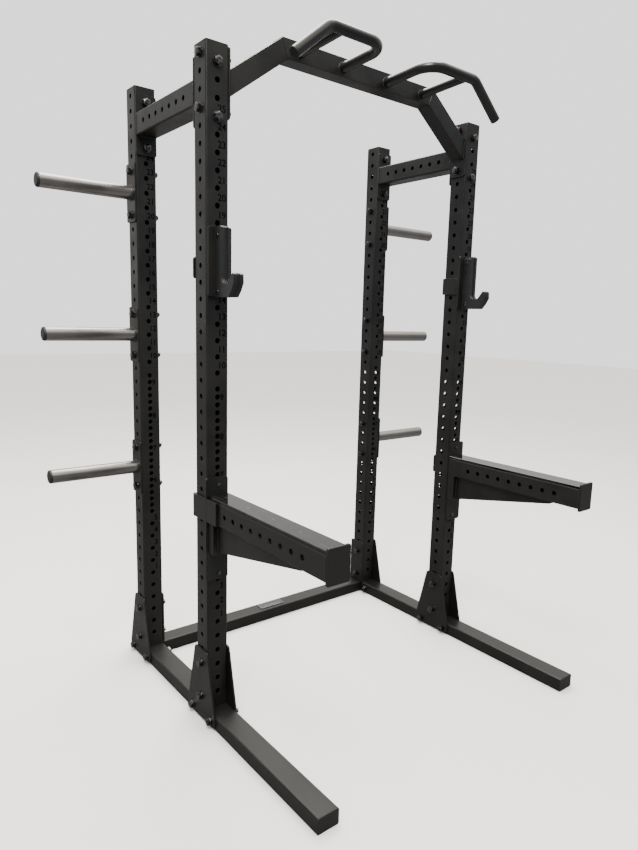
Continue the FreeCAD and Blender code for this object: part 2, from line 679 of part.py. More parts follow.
def hook_outline(proud):
    """J outline of the hook; proud is how far it stands out beyond the steel core."""
    bare = CHEEK_PROUD - proud
    face = HOOK_FACE_REACH - bare
    floor = HOOK_FLOOR_DROP + bare
    drop_in = HOOK_CORNER * (1 - math.sqrt(0.5))
    corner_top = hook_point(face, floor - HOOK_CORNER)
    corner_end = hook_point(face + HOOK_CORNER, floor)
    fillet = Part.Arc(corner_top, hook_point(face + drop_in, floor - drop_in), corner_end).toShape()
    bend_points = [hook_point(reach, floor - height) for reach, height in HOOK_BEND]
    tip = hook_point(HOOK_TIP[0] + bare, HOOK_TIP[1])
    nose = [hook_point(reach, drop) for reach, drop in HOOK_NOSE]
    stem = [hook_point(PLATE_FRONT, HOOK_NOSE[-1][1]), hook_point(PLATE_FRONT, CHEEK_TOP_DROP),
            hook_point(face - HOOK_STEM_CHAMFER, CHEEK_TOP_DROP),
            hook_point(face, CHEEK_TOP_DROP + HOOK_STEM_CHAMFER)]
    edges = [fillet, Part.makeLine(corner_end, bend_points[0]), Part.Arc(*bend_points).toShape(),
             Part.makeLine(bend_points[-1], tip)]
    chain = [tip] + nose + stem + [corner_top]
    edges += [Part.makeLine(a, b) for a, b in zip(chain, chain[1:])]
    return Part.Wire(edges)


def hook_slab(x_range, proud):
    """Slice of the hook between two X values, bored for its screws."""
    wire = hook_outline(proud)
    wire.translate(X_AXIS * x_range[0])
    slab = Part.Face(wire).extrude(X_AXIS * (x_range[1] - x_range[0]))
    length = x_range[1] - x_range[0] + 2 * OVERRUN
    drills = [rod(Vector(x_range[0] - OVERRUN, at_reach(reach), at_drop(drop)), X_AXIS, CUP_SCREW_RADIUS,
                  length) for reach, drop in CUP_SCREWS]
    return slab.cut(drills)


def inboard_cheek():
    """Inboard plastic half of the hook, with its top corner taken off."""
    slab = hook_slab((HOOK_X[1] - CHEEK, HOOK_X[1]), CHEEK_PROUD)
    x, z = HOOK_X[1], at_drop(CHEEK_TOP_DROP)
    depth = TUBE
    outline = [Vector(x, at_reach(depth), z), Vector(x, at_reach(depth), z - CHEEK_CHAMFER),
               Vector(x - CHEEK_CHAMFER, at_reach(depth), z)]
    return slab.cut(prism(outline, Y_AXIS, depth))


def cup_screw(reach, drop):
    """Through screw with a round head on each side."""
    y, z = at_reach(reach), at_drop(drop)
    radius, height = CUP_SCREW_HEAD
    shank = rod(Vector(HOOK_X[0], y, z), X_AXIS, CUP_SCREW_RADIUS, HOOK_X[1] - HOOK_X[0])
    heads = [rod(Vector(HOOK_X[0] - height, y, z), X_AXIS, radius, height),
             rod(Vector(HOOK_X[1], y, z), X_AXIS, radius, height)]
    return shank.fuse(heads).removeSplitter()


def build_j_cups():
    """The two lift-off J-cups."""
    z_range = (at_drop(CUP_PLATE_DROPS[0]), at_drop(CUP_PLATE_DROPS[1]))
    plate = block((CUP_PLATE_OUTER_X, CUP_STRAP_X + PLATE), (at_reach(PLATE_BACK), at_reach(PLATE_FRONT)),
                  z_range)
    pin_start = Vector(CUP_PIN_END_X, FRONT_Y, at_drop(CUP_PIN_DROP))
    core_x = (HOOK_X[0] + CHEEK, HOOK_X[1] - CHEEK)
    cheeks = [hook_slab((HOOK_X[0], core_x[0]), CHEEK_PROUD), inboard_cheek()]
    save_pair("j_cup", {
        "back_plate": [rounded(plate, Y_AXIS, LIP_CHAMFER)],
        "strap": [cup_strap()],
        "pin": [rod(pin_start, X_AXIS, PIN_RADIUS, CUP_STRAP_X - CUP_PIN_END_X)],
        "hook": [hook_slab(core_x, 0.0)],
        "cheeks": cheeks,
        "screws": [cup_screw(*place) for place in CUP_SCREWS]})


# ---- spotter arms -------------------------------------------------------------------
def arm_strap():
    """Outboard side strap of the left arm with the lip behind the upright."""
    z = at_drop(ARM_DROP)
    z_range = (z - HALF, z + HALF)
    inner_x = OUTER_X - SLIDE_GAP
    outer_x = inner_x - ARM_STRAP
    side = block((outer_x, inner_x), (at_reach(ARM_STRAP_REACH), REAR_GAP_Y + ARM_STRAP), z_range)
    lip = block((outer_x, ARM_LIP_END_X), (REAR_GAP_Y, REAR_GAP_Y + ARM_STRAP), z_range)
    strap = side.fuse(lip).removeSplitter()
    strap = strap.makeFillet(PLATE, rear_corner(strap, outer_x))
    return strap.cut(lip_bevels(ARM_LIP_END_X, z_range, -1))


def arm_back_plate(strap):
    """Plate of the left arm against the upright's front, notched for the strap."""
    z_range = (at_drop(ARM_PLATE_DROPS[0]), at_drop(ARM_PLATE_DROPS[1]))
    plate = block(ARM_PLATE_X, (at_reach(PLATE_BACK), at_reach(PLATE_FRONT)), z_range)
    plate = plate.makeChamfer(ARM_PLATE_CHAMFER, edges_along(plate, Y_AXIS))
    drills = [rod(Vector(ARM_X, at_reach(PLATE_FRONT), at_drop(drop)), Y_AXIS, PLATE_SCREW_RADIUS,
                  BACK_PLATE) for drop in PLATE_SCREW_DROPS]
    return plate.cut([strap] + drills)


def arm_spine():
    """Channel between the left arm's back plate and its tube, open towards the plate."""
    z_range = (at_drop(SPINE_BOTTOM_DROP), at_drop(ARM_DROP) + HALF)
    x_range = (ARM_X - HALF, ARM_X + HALF)
    outer = block(x_range, (at_reach(PLATE_FRONT), at_reach(SPINE_REACH)), z_range)
    inner = block((x_range[0] + SPINE_WALL, x_range[1] - SPINE_WALL),
                  (at_reach(PLATE_FRONT) + OVERRUN, at_reach(SPINE_REACH - SPINE_WALL)),
                  (z_range[0] + SPINE_WALL, z_range[1] - SPINE_WALL))
    return outer.cut(inner)


def arm_tube():
    """Left arm's square tube with its row of holes."""
    z = at_drop(ARM_DROP)
    tube = box_tube((ARM_X - HALF, ARM_X + HALF), (at_reach(ARM_END_REACH), at_reach(SPINE_REACH)),
                    (z - HALF, z + HALF), Y_AXIS)
    drills = [rod(Vector(ARM_X - TUBE, at_reach(ARM_FIRST_HOLE_REACH + HOLE_PITCH * step), z), X_AXIS,
                  HOLE_RADIUS, 2 * TUBE) for step in range(ARM_HOLES)]
    return tube.cut(drills)


def arm_gusset():
    """Folded tapered box below the left arm's tube, open at the top."""
    top = ARM_DROP + HALF
    root_drop, tip_drop = ARM_GUSSET_DROPS
    tip_reach, end_reach = ARM_GUSSET_TIP
    solids = []
    for inset, nose, rise in ((0.0, 0.0, 0.0), (ARM_GUSSET_WALL, ARM_GUSSET_NOSE_WALL, OVERRUN)):
        width = ARM_GUSSET_WIDTH - 2 * inset
        x = ARM_X - width / 2
        places = [(SPINE_REACH + inset, top - rise), (SPINE_REACH + inset, root_drop - inset),
                  (tip_reach - nose, tip_drop - inset), (end_reach - nose, top - rise)]
        outline = [Vector(x, at_reach(reach), at_drop(drop)) for reach, drop in places]
        solids.append(prism(outline, X_AXIS, width))
    return solids[0].cut(solids[1])


def arm_top_strip():
    """Plastic strip on top of the left arm, countersunk for its screws."""
    z = at_drop(ARM_DROP) + HALF
    strip = block((ARM_X - STRIP_WIDTH / 2, ARM_X + STRIP_WIDTH / 2),
                  (at_reach(ARM_END_REACH), at_reach(PLATE_FRONT)), (z, z + STRIP_THICK))
    edges = [e for e in edges_along(strip, Y_AXIS) if e.CenterOfMass.z > z + STRIP_THICK / 2]
    strip = strip.makeChamfer(STRIP_CHAMFER, edges)
    return strip.cut([strip_screw(step) for step in range(STRIP_SCREWS)])


def strip_screw(step):
    """Countersunk screw in the top strip."""
    y = at_reach(STRIP_FIRST_SCREW + STRIP_SCREW_PITCH * step)
    top = at_drop(ARM_DROP) + HALF + STRIP_THICK
    return rod(Vector(ARM_X, y, top - STRIP_SCREW_DEPTH), Z_AXIS, STRIP_SCREW_RADIUS, STRIP_SCREW_DEPTH)


def plate_screw(drop):
    """Round-headed screw in the left arm's back plate."""
    radius, height = PLATE_SCREW_HEAD
    start = Vector(ARM_X, at_reach(PLATE_FRONT), at_drop(drop))
    shank = rod(start, Y_AXIS, PLATE_SCREW_RADIUS, BACK_PLATE)
    return shank.fuse(rod(start, Y_AXIS * -1, radius, height)).removeSplitter()


def arm_end_plate():
    """Stop plate on the left arm's front end."""
    width, height, thick = END_PLATE
    z = at_drop(END_PLATE_DROP)
    plate = block((ARM_X - width / 2, ARM_X + width / 2), (at_reach(ARM_END_REACH),
                  at_reach(ARM_END_REACH + thick)), (z - height / 2, z + height / 2))
    return rounded(plate, Y_AXIS, LIP_CHAMFER)


def build_spotter_arms():
    """The two lift-off spotter arms."""
    strap = arm_strap()
    pin_x = OUTER_X - SLIDE_GAP
    pin_start = Vector(pin_x, FRONT_Y, at_drop(ARM_PIN_DROP))
    screws = [strip_screw(step) for step in range(STRIP_SCREWS)]
    screws += [plate_screw(drop) for drop in PLATE_SCREW_DROPS]
    save_pair("spotter", {
        "back_plate": [arm_back_plate(strap)],
        "spine": [arm_spine()],
        "strap": [strap],
        "pin": [rod(pin_start, X_AXIS, PIN_RADIUS, ARM_PIN_END_X - pin_x)],
        "arm_tube": [arm_tube()],
        "gusset": [arm_gusset()],
        "end_plate": [arm_end_plate()],
        "top_strip": [arm_top_strip()],
        "screws": screws})


def main():
    """Write every node."""
    os.makedirs("parts", exist_ok=True)
    build_floor_frame()
    build_top_frame()
    build_horns()
    build_fasteners()
    build_j_cups()
    build_spotter_arms()


main()
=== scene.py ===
"""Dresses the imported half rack: finer tubes, fasteners, welds, numerals and finishes.

All lengths are in metres, in the part's own frame: +Z up, floor at Z = 0, the open front
towards -Y, and the left and right sides mirrored about X = 0.
"""
import json
import logging
import math
from dataclasses import dataclass, field
from enum import Enum
from typing import Any, Callable, Iterable, Optional, Sequence

import bmesh
import bpy
from mathutils import Matrix, Vector


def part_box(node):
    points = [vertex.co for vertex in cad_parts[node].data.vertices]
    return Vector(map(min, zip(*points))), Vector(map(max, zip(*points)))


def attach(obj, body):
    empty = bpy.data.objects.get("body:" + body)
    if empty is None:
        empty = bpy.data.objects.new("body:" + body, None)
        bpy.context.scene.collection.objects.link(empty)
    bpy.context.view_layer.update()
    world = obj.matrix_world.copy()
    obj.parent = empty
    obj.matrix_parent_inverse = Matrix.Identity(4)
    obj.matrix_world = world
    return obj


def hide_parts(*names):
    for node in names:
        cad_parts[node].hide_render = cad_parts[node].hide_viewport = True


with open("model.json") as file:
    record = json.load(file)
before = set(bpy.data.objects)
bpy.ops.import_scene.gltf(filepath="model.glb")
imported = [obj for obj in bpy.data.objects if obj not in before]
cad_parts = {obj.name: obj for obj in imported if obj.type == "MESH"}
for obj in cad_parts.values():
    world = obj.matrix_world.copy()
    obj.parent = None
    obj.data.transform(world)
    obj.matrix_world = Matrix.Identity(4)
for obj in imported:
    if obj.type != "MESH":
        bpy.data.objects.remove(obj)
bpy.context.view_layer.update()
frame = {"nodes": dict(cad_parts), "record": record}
log = logging.getLogger("half_rack")

Obj = bpy.types.Object
Material = bpy.types.Material
Colour = tuple[float, float, float]
MM = 0.001
NEAR = 0.1 * MM                 # closer than this counts as the same place
ALONG = 0.99                    # cosine above which two directions count as the same
PLATE_EDGE = 0.9 * MM           # how far the edges of a bolted plate are broken


def corners(node: str) -> tuple[Vector, Vector]:
    """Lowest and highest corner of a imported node."""
    low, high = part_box(node)
    return Vector(low), Vector(high)


class Axis(Enum):
    """Direction of a tube, a hole or a bolt."""

    X = 0
    Y = 1
    Z = 2

    @property
    def vector(self) -> Vector:
        """Unit vector along the axis."""
        return Vector([1.0 if i == self.value else 0.0 for i in range(3)])

    @property
    def turn(self) -> tuple[float, float, float]:
        """Euler angles that lay a Z-aligned primitive along the axis."""
        quarter = math.pi / 2
        return {Axis.X: (0.0, quarter, 0.0), Axis.Y: (quarter, 0.0, 0.0), Axis.Z: (0.0, 0.0, 0.0)}[self]


class Side(Enum):
    """Left or right half of the rack, with its sign along X."""

    LEFT = -1
    RIGHT = 1

    @property
    def word(self) -> str:
        """The word used in the names of nodes."""
        return self.name.lower()


# ---- shader tools ----
class Wire:
    """An output socket that adds its own maths nodes to the tree."""

    def __init__(self, nodes: "NodeTree", socket: Any) -> None:
        """Wraps a socket of a tree."""
        self.nodes = nodes
        self.socket = socket

    def _maths(self, operation: str, *values: Any) -> "Wire":
        """Adds one Math node.

        Args:
            operation: Blender's name for the operation.
            values: the inputs, wires or numbers.
        Returns:
            The node's output.
        """
        return self.nodes.node("ShaderNodeMath", {"operation": operation}, dict(enumerate(values)))

    def __add__(self, other: Any) -> "Wire":
        """This plus other."""
        return self._maths("ADD", self, other)

    def __radd__(self, other: Any) -> "Wire":
        """Other plus this."""
        return self._maths("ADD", other, self)

    def __mul__(self, other: Any) -> "Wire":
        """This times other."""
        return self._maths("MULTIPLY", self, other)

    def __rmul__(self, other: Any) -> "Wire":
        """Other times this."""
        return self._maths("MULTIPLY", other, self)

    def larger(self, other: Any) -> "Wire":
        """The larger of this and other."""
        return self._maths("MAXIMUM", self, other)

    def between(self, low: float, high: float) -> "Wire":
        """Spreads 0 to 1 over low to high."""
        return self * (high - low) + low

    def step(self, low: float, high: float) -> "Wire":
        """Smooth step from 0 at low to 1 at high."""
        inputs = {"Value": self, "From Min": low, "From Max": high}
        return self.nodes.node("ShaderNodeMapRange", {"interpolation_type": "SMOOTHSTEP"}, inputs)


class NodeTree:
    """The node tree of a material or a world, built with one generic node method."""

    def __init__(self, owner: Any) -> None:
        """Opens the owner's tree."""
        owner.use_nodes = True
        self.tree = owner.node_tree

    def node(self, kind: str, settings: dict[str, Any], inputs: dict[Any, Any], output: Any = 0) -> Wire:
        """Adds any node.

        Args:
            kind: the node's type.
            settings: its properties, set before its sockets; "stops" fills a colour ramp.
            inputs: values or wires by socket name or number.
            output: the output socket's name or number.
        Returns:
            The chosen output.
        """
        node = self.tree.nodes.new(kind)
        for key, value in settings.items():
            if key == "stops":
                for element, colour in zip(node.color_ramp.elements, value):
                    element.color = (*colour, 1.0)
            else:
                setattr(node, key, value)
        for key, value in inputs.items():
            self.feed(node.inputs[key], value)
        return Wire(self, node.outputs[output])

    def feed(self, socket: Any, value: Any) -> None:
        """Links a wire to a socket, or sets its value."""
        if isinstance(value, Wire):
            self.tree.links.new(value.socket, socket)
        else:
            socket.default_value = value

    def mix(self, factor: Wire, first: Colour, second: Colour) -> Wire:
        """Blend of two colours by a factor."""
        return self.node("ShaderNodeValToRGB", {"stops": (first, second)}, {"Fac": factor})

    def seen_directly(self, otherwise: Wire, seen: Wire) -> Wire:
        """One shader for what is looked at and another for the light that it gives."""
        direct = self.node("ShaderNodeLightPath", {}, {}, "Is Camera Ray")
        return self.node("ShaderNodeMixShader", {}, {0: direct, 1: otherwise, 2: seen})


class Shader(NodeTree):
    """A material and its Principled shader."""

    def __init__(self, name: str) -> None:
        """Makes an empty material with a Principled shader at its output."""
        self.material = bpy.data.materials.new(name)
        super().__init__(self.material)
        self.surface = next(n for n in self.tree.nodes if n.type == "BSDF_PRINCIPLED")

    def set(self, **values: Any) -> None:
        """Sets the Principled shader's sockets; an underscore stands for a space."""
        for key, value in values.items():
            self.feed(self.surface.inputs[key.replace("_", " ")], value)

    def noise(self, scale: float, detail: float = 3.0, stretch: Optional[Sequence[float]] = None) -> Wire:
        """Noise on Object coordinates.

        Args:
            scale: cells per metre.
            detail: octaves.
            stretch: scale along each axis, for brushed or streaked looks.
        Returns:
            The noise value, 0 to 1.
        """
        where = self.node("ShaderNodeTexCoord", {}, {}, "Object")
        if stretch:
            where = self.node("ShaderNodeMapping", {}, {"Vector": where, "Scale": tuple(stretch)})
        return self.node("ShaderNodeTexNoise", {}, {"Vector": where, "Scale": scale, "Detail": detail})

    def bump(self, height: Wire, strength: float, distance: float) -> None:
        """Feeds a height to the shader's Normal."""
        inputs = {"Height": height, "Strength": strength, "Distance": distance}
        self.set(Normal=self.node("ShaderNodeBump", {}, inputs))


@dataclass(frozen=True)
class PowderCoat:
    """Fine-textured satin black powder coat."""

    name: str = "powder_coat_black"
    dark: Colour = (0.0055, 0.0055, 0.0053)
    light: Colour = (0.0150, 0.0146, 0.0132)
    rough_low: float = 0.34
    rough_high: float = 0.48
    specular: float = 0.4
    grain: float = 1400.0
    grain_strength: float = 0.35
    cloud: float = 7.0
    cloud_share: float = 0.45

    def make(self) -> Material:
        """Builds the material."""
        shader = Shader(self.name)
        cloud = shader.noise(self.cloud, 4.0).step(0.35, 0.65)
        grain = shader.noise(self.grain, 2.0)
        tone = cloud * self.cloud_share + grain.step(0.45, 0.62) * (1.0 - self.cloud_share)
        shader.set(Base_Color=shader.mix(tone, self.dark, self.light), Metallic=0.0,
                   Roughness=cloud.between(self.rough_low, self.rough_high), Specular_IOR_Level=self.specular)
        shader.bump(grain, self.grain_strength, 0.25 * MM)
        return shader.material


@dataclass(frozen=True)
class MarkingInk:
    """Matt black marking of the hole numbers."""

    name: str = "marking_ink_black"
    dark: Colour = (0.0006, 0.0006, 0.0006)
    light: Colour = (0.0016, 0.0016, 0.0016)
    wear: float = 300.0
    rough: float = 0.8
    specular: float = 0.05

    def make(self) -> Material:
        """Builds the material."""
        shader = Shader(self.name)
        wear = shader.noise(self.wear, 3.0)
        shader.set(Base_Color=shader.mix(wear, self.dark, self.light), Roughness=wear * 0.1 + self.rough,
                   Specular_IOR_Level=self.specular)
        return shader.material


@dataclass(frozen=True)
class MouldedPlastic:
    """Matt moulded plug plastic."""

    name: str = "plug_plastic_black"
    dark: Colour = (0.008, 0.008, 0.008)
    light: Colour = (0.016, 0.016, 0.016)
    rough: float = 0.5
    grain: float = 900.0
    cloud: float = 20.0

    def make(self) -> Material:
        """Builds the material."""
        shader = Shader(self.name)
        grain = shader.noise(self.grain, 2.0)
        cloud = shader.noise(self.cloud, 3.0)
        shader.set(Base_Color=shader.mix(cloud, self.dark, self.light), Roughness=cloud * 0.15 + self.rough)
        shader.bump(grain, 0.25, 0.2 * MM)
        return shader.material


@dataclass(frozen=True)
class GlossPlastic:
    """Smooth protective plastic with faint scuffs along its length."""

    name: str = "liner_plastic_gloss"
    dark: Colour = (0.006, 0.006, 0.0065)
    light: Colour = (0.022, 0.022, 0.023)
    cloud: float = 9.0
    scuff: float = 60.0
    scuff_stretch: tuple[float, float, float] = (1.0, 0.25, 1.0)
    rough: float = 0.05
    specular: float = 0.4

    def make(self) -> Material:
        """Builds the material."""
        shader = Shader(self.name)
        cloud = shader.noise(self.cloud, 4.0)
        scuff = shader.noise(self.scuff, 5.0, self.scuff_stretch).step(0.52, 0.72)
        shader.set(Base_Color=shader.mix(scuff * 0.7, self.dark, self.light),
                   Roughness=scuff * 0.16 + cloud * 0.08 + self.rough, Specular_IOR_Level=self.specular)
        shader.bump(cloud, 0.12, 1.5 * MM)
        return shader.material


@dataclass(frozen=True)
class PlatedSteel:
    """Plated or turned steel, from black zinc to bright."""

    name: str
    dark: Colour
    light: Colour
    rough_low: float = 0.22
    rough_high: float = 0.42
    turning: float = 400.0
    cloud: float = 120.0

    def make(self) -> Material:
        """Builds the material."""
        shader = Shader(self.name)
        cloud = shader.noise(self.cloud, 3.0)
        turning = shader.noise(self.turning, 2.0)
        shader.set(Base_Color=shader.mix(cloud.step(0.3, 0.7), self.dark, self.light), Metallic=1.0,
                   Roughness=cloud.between(self.rough_low, self.rough_high))
        shader.bump(turning, 0.10, 0.2 * MM)
        return shader.material


@dataclass(frozen=True)
class WeldBead:
    """Painted weld with the ripples of its passes."""

    name: str = "painted_weld"
    dark: Colour = (0.010, 0.010, 0.010)
    light: Colour = (0.024, 0.024, 0.023)
    ripple: float = 420.0
    rough: float = 0.34

    def make(self) -> Material:
        """Builds the material."""
        shader = Shader(self.name)
        ripple = shader.noise(self.ripple, 2.0)
        shader.set(Base_Color=shader.mix(ripple, self.dark, self.light), Roughness=ripple * 0.15 + self.rough)
        shader.bump(ripple, 0.6, 1.2 * MM)
        return shader.material


@dataclass(frozen=True)
class StudioFloor:
    """Pale seamless floor."""

    name: str = "studio_floor"
    dark: Colour = (0.93, 0.93, 0.93)
    light: Colour = (0.96, 0.96, 0.96)
    bounce: tuple[float, float, float, float] = (0.16, 0.16, 0.165, 1.0)
    cloud: float = 1.5
    rough: float = 0.7
    specular: float = 0.2

    def make(self) -> Material:
        """Builds the material, which looks pale but throws little light back up."""
        shader = Shader(self.name)
        shader.set(Base_Color=shader.mix(shader.noise(self.cloud, 2.0), self.dark, self.light),
                   Roughness=self.rough, Specular_IOR_Level=self.specular)
        dim = shader.node("ShaderNodeBsdfDiffuse", {}, {"Color": self.bounce})
        floor = shader.seen_directly(dim, Wire(shader, shader.surface.outputs[0]))
        shader.feed(shader.tree.nodes["Material Output"].inputs["Surface"], floor)
        return shader.material


def made_of(finish: Any) -> Any:
    """Dataclass field that holds the material of a finish, made with its owner."""
    return field(default_factory=finish.make)


@dataclass
class Finishes:
    """Every finish, made once. The first six are named for the record's slots."""

    frame_black: Material = made_of(PowderCoat())
    plug_plastic: Material = made_of(MouldedPlastic())
    liner_plastic: Material = made_of(GlossPlastic())
    bolt_steel: Material = made_of(PlatedSteel(
        "bolt_black_zinc", (0.05, 0.05, 0.05), (0.19, 0.187, 0.18), 0.16, 0.34))
    pin_steel: Material = made_of(PlatedSteel(
        "pin_bright_steel", (0.30, 0.30, 0.31), (0.45, 0.45, 0.46)))
    badge_metal: Material = made_of(PlatedSteel(
        "badge_satin_metal", (0.10, 0.10, 0.105), (0.20, 0.20, 0.21), 0.3, 0.5, turning=900.0))
    weld: Material = made_of(WeldBead())
    numeral: Material = made_of(MarkingInk())
    smooth_black: Material = made_of(PowderCoat(
        "smooth_coat_black", (0.007, 0.007, 0.007), (0.016, 0.0155, 0.0145), 0.24, 0.34,
        specular=0.5, grain=900.0, grain_strength=0.12))
    horn_steel: Material = made_of(PlatedSteel(
        "horn_gunmetal", (0.245, 0.233, 0.222), (0.295, 0.282, 0.268), 0.26, 0.33, turning=1600.0, cloud=9.0))
    satin_pad: Material = made_of(MouldedPlastic(
        "pad_plastic_satin", (0.009, 0.009, 0.0095), (0.019, 0.019, 0.020), rough=0.34))


# ---- modelling tools ----
class Bench:
    """Modelling steps that every sub-assembly uses."""

    @staticmethod
    def clear() -> None:
        """Leaves edit mode and deselects everything."""
        if bpy.context.object and bpy.context.object.mode != "OBJECT":
            bpy.ops.object.mode_set(mode="OBJECT")
        bpy.ops.object.select_all(action="DESELECT")

    @classmethod
    def hold(cls, piece: Obj) -> None:
        """Makes one piece selected and active."""
        cls.clear()
        piece.select_set(True)
        bpy.context.view_layer.objects.active = piece

    @classmethod
    def settle(cls, piece: Obj) -> Obj:
        """Puts the piece's place, turn and scale into its mesh."""
        cls.hold(piece)
        bpy.ops.object.transform_apply(location=True, rotation=True, scale=True)
        return piece

    @classmethod
    def block(cls, name: str, low: Sequence[float], high: Sequence[float]) -> Obj:
        """Box between two corners."""
        cls.clear()
        centre = (Vector(low) + Vector(high)) / 2
        bpy.ops.mesh.primitive_cube_add(size=1.0, location=centre)
        piece = bpy.context.object
        piece.name = name
        piece.scale = Vector(high) - Vector(low)
        return cls.settle(piece)

    @classmethod
    def round_bar(cls, name: str, centre: Vector, axis: Axis, radius: float, length: float,
                  sides: int = 32) -> Obj:
        """Closed cylinder.

        Args:
            name: the piece's name.
            centre: its middle.
            axis: its direction.
            radius: its radius.
            length: its length.
            sides: its number of sides.
        Returns:
            The new piece.
        """
        cls.clear()
        bpy.ops.mesh.primitive_cylinder_add(vertices=sides, radius=radius, depth=length, location=centre,
                                            rotation=axis.turn)
        piece = bpy.context.object
        piece.name = name
        return cls.settle(piece)

    @classmethod
    def edit(cls, piece: Obj, kind: str, test: Callable[[Any], bool]) -> int:
        """Opens a piece for editing with some elements selected.

        Args:
            piece: the piece to open.
            kind: VERT, EDGE or FACE.
            test: says which elements are selected.
        Returns:
            How many were selected.
        """
        cls.hold(piece)
        bpy.ops.object.mode_set(mode="EDIT")
        bpy.ops.mesh.select_mode(type=kind)
        bpy.ops.mesh.select_all(action="DESELECT")
        mesh = bmesh.from_edit_mesh(piece.data)
        chosen = {"VERT": mesh.verts, "EDGE": mesh.edges, "FACE": mesh.faces}[kind]
        count = 0
        for element in chosen:
            if test(element):
                element.select_set(True)
                count += 1
        bmesh.update_edit_mesh(piece.data)
        return count

    @classmethod
    def bevel(cls, piece: Obj, width: float, steps: int, test: Callable[[Any], bool]) -> None:
        """Rounds the edges that pass a test."""
        if cls.edit(piece, "EDGE", test):
            bpy.ops.mesh.bevel(offset=width, segments=steps, profile=0.5, affect="EDGES")
        cls.clear()

    @classmethod
    def apply(cls, piece: Obj, kind: str, **settings: Any) -> None:
        """Adds a modifier with its settings and applies it."""
        cls.hold(piece)
        modifier = piece.modifiers.new(kind.lower(), kind)
        for key, value in settings.items():
            setattr(modifier, key, value)
        bpy.ops.object.modifier_apply(modifier=modifier.name)

    @classmethod
    def cut(cls, piece: Obj, cutter: Obj) -> None:
        """Takes a cutter's volume out of a piece and throws the cutter away."""
        cls.apply(piece, "BOOLEAN", operation="DIFFERENCE", solver="EXACT", object=cutter)
        bpy.data.objects.remove(cutter, do_unlink=True)

    @classmethod
    def join(cls, name: str, pieces: Sequence[Obj]) -> Obj:
        """Makes several pieces one."""
        cls.clear()
        for piece in pieces:
            piece.select_set(True)
        bpy.context.view_layer.objects.active = pieces[0]
        if len(pieces) > 1:
            bpy.ops.object.join()
        pieces[0].name = name
        return pieces[0]

    @staticmethod
    def copy(piece: Obj, name: str, shift: Sequence[float] = (0.0, 0.0, 0.0)) -> Obj:
        """Copy with its own mesh, moved in its mesh."""
        twin = piece.copy()
        twin.data = piece.data.copy()
        twin.name = name
        twin.data.transform(Matrix.Translation(Vector(shift)))
        bpy.context.collection.objects.link(twin)
        return twin

    @staticmethod
    def slice(node: str, axis: Axis, value: float) -> tuple[Vector, Vector]:
        """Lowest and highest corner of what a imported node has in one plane."""
        points = [vert.co for vert in frame["nodes"][node].data.vertices
                  if abs(vert.co[axis.value] - value) < NEAR]
        return (Vector([min(p[i] for p in points) for i in range(3)]),
                Vector([max(p[i] for p in points) for i in range(3)]))

    @classmethod
    def smooth(cls, piece: Obj, degrees: float = 35.0) -> Obj:
        """Smooths the shading of round stretches and keeps flats flat."""
        cls.hold(piece)
        bpy.ops.object.shade_smooth_by_angle(angle=math.radians(degrees))
        cls.apply(piece, "WEIGHTED_NORMAL", keep_sharp=True, weight=100)
        return piece

    @classmethod
    def soften(cls, piece: Obj, width: float, steps: int = 2, degrees: float = 40.0) -> Obj:
        """Breaks the sharp edges of a finished shape."""
        cls.apply(piece, "BEVEL", width=width, segments=steps, limit_method="ANGLE",
                  angle_limit=math.radians(degrees), use_clamp_overlap=True)
        return cls.smooth(piece)

    @classmethod
    def refined(cls, node: str, name: str, width: float, steps: int = 2) -> Obj:
        """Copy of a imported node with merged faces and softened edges.

        Args:
            node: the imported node's name.
            name: the new piece's name.
            width: how far its edges are broken; 0 leaves them.
            steps: the number of facets of a broken edge.
        Returns:
            The new piece.
        """
        source = frame["nodes"][node]
        piece = source.copy()
        piece.data = source.data.copy()
        piece.name = name
        bpy.context.collection.objects.link(piece)
        piece.hide_render = False
        piece.parent = None
        piece.matrix_world = Matrix.Identity(4)
        cls.edit(piece, "VERT", lambda vert: True)
        bpy.ops.mesh.remove_doubles(threshold=NEAR / 10)
        bpy.ops.mesh.select_all(action="SELECT")
        bpy.ops.mesh.dissolve_limited(angle_limit=math.radians(0.5), delimit={"NORMAL"})
        cls.clear()
        if width:
            return cls.soften(piece, width, steps)
        return cls.smooth(piece)


@dataclass(frozen=True)
class HoleRow:
    """A straight row of equal holes.

    first is the middle of the first hole's axis, step leads to the next hole.
    """

    first: tuple[float, float, float]
    step: tuple[float, float, float]
    count: int
    along: Axis
    radius: float = 8.5 * MM
    reach: float = 0.2
    sides: int = 24

    def cutter(self) -> Obj:
        """Solid that cuts the whole row."""
        drill = Bench.round_bar("drill", Vector(self.first), self.along, self.radius, self.reach, self.sides)
        if self.count > 1:
            Bench.apply(drill, "ARRAY", count=self.count, use_relative_offset=False,
                        use_constant_offset=True, constant_offset_displace=self.step)
        return drill


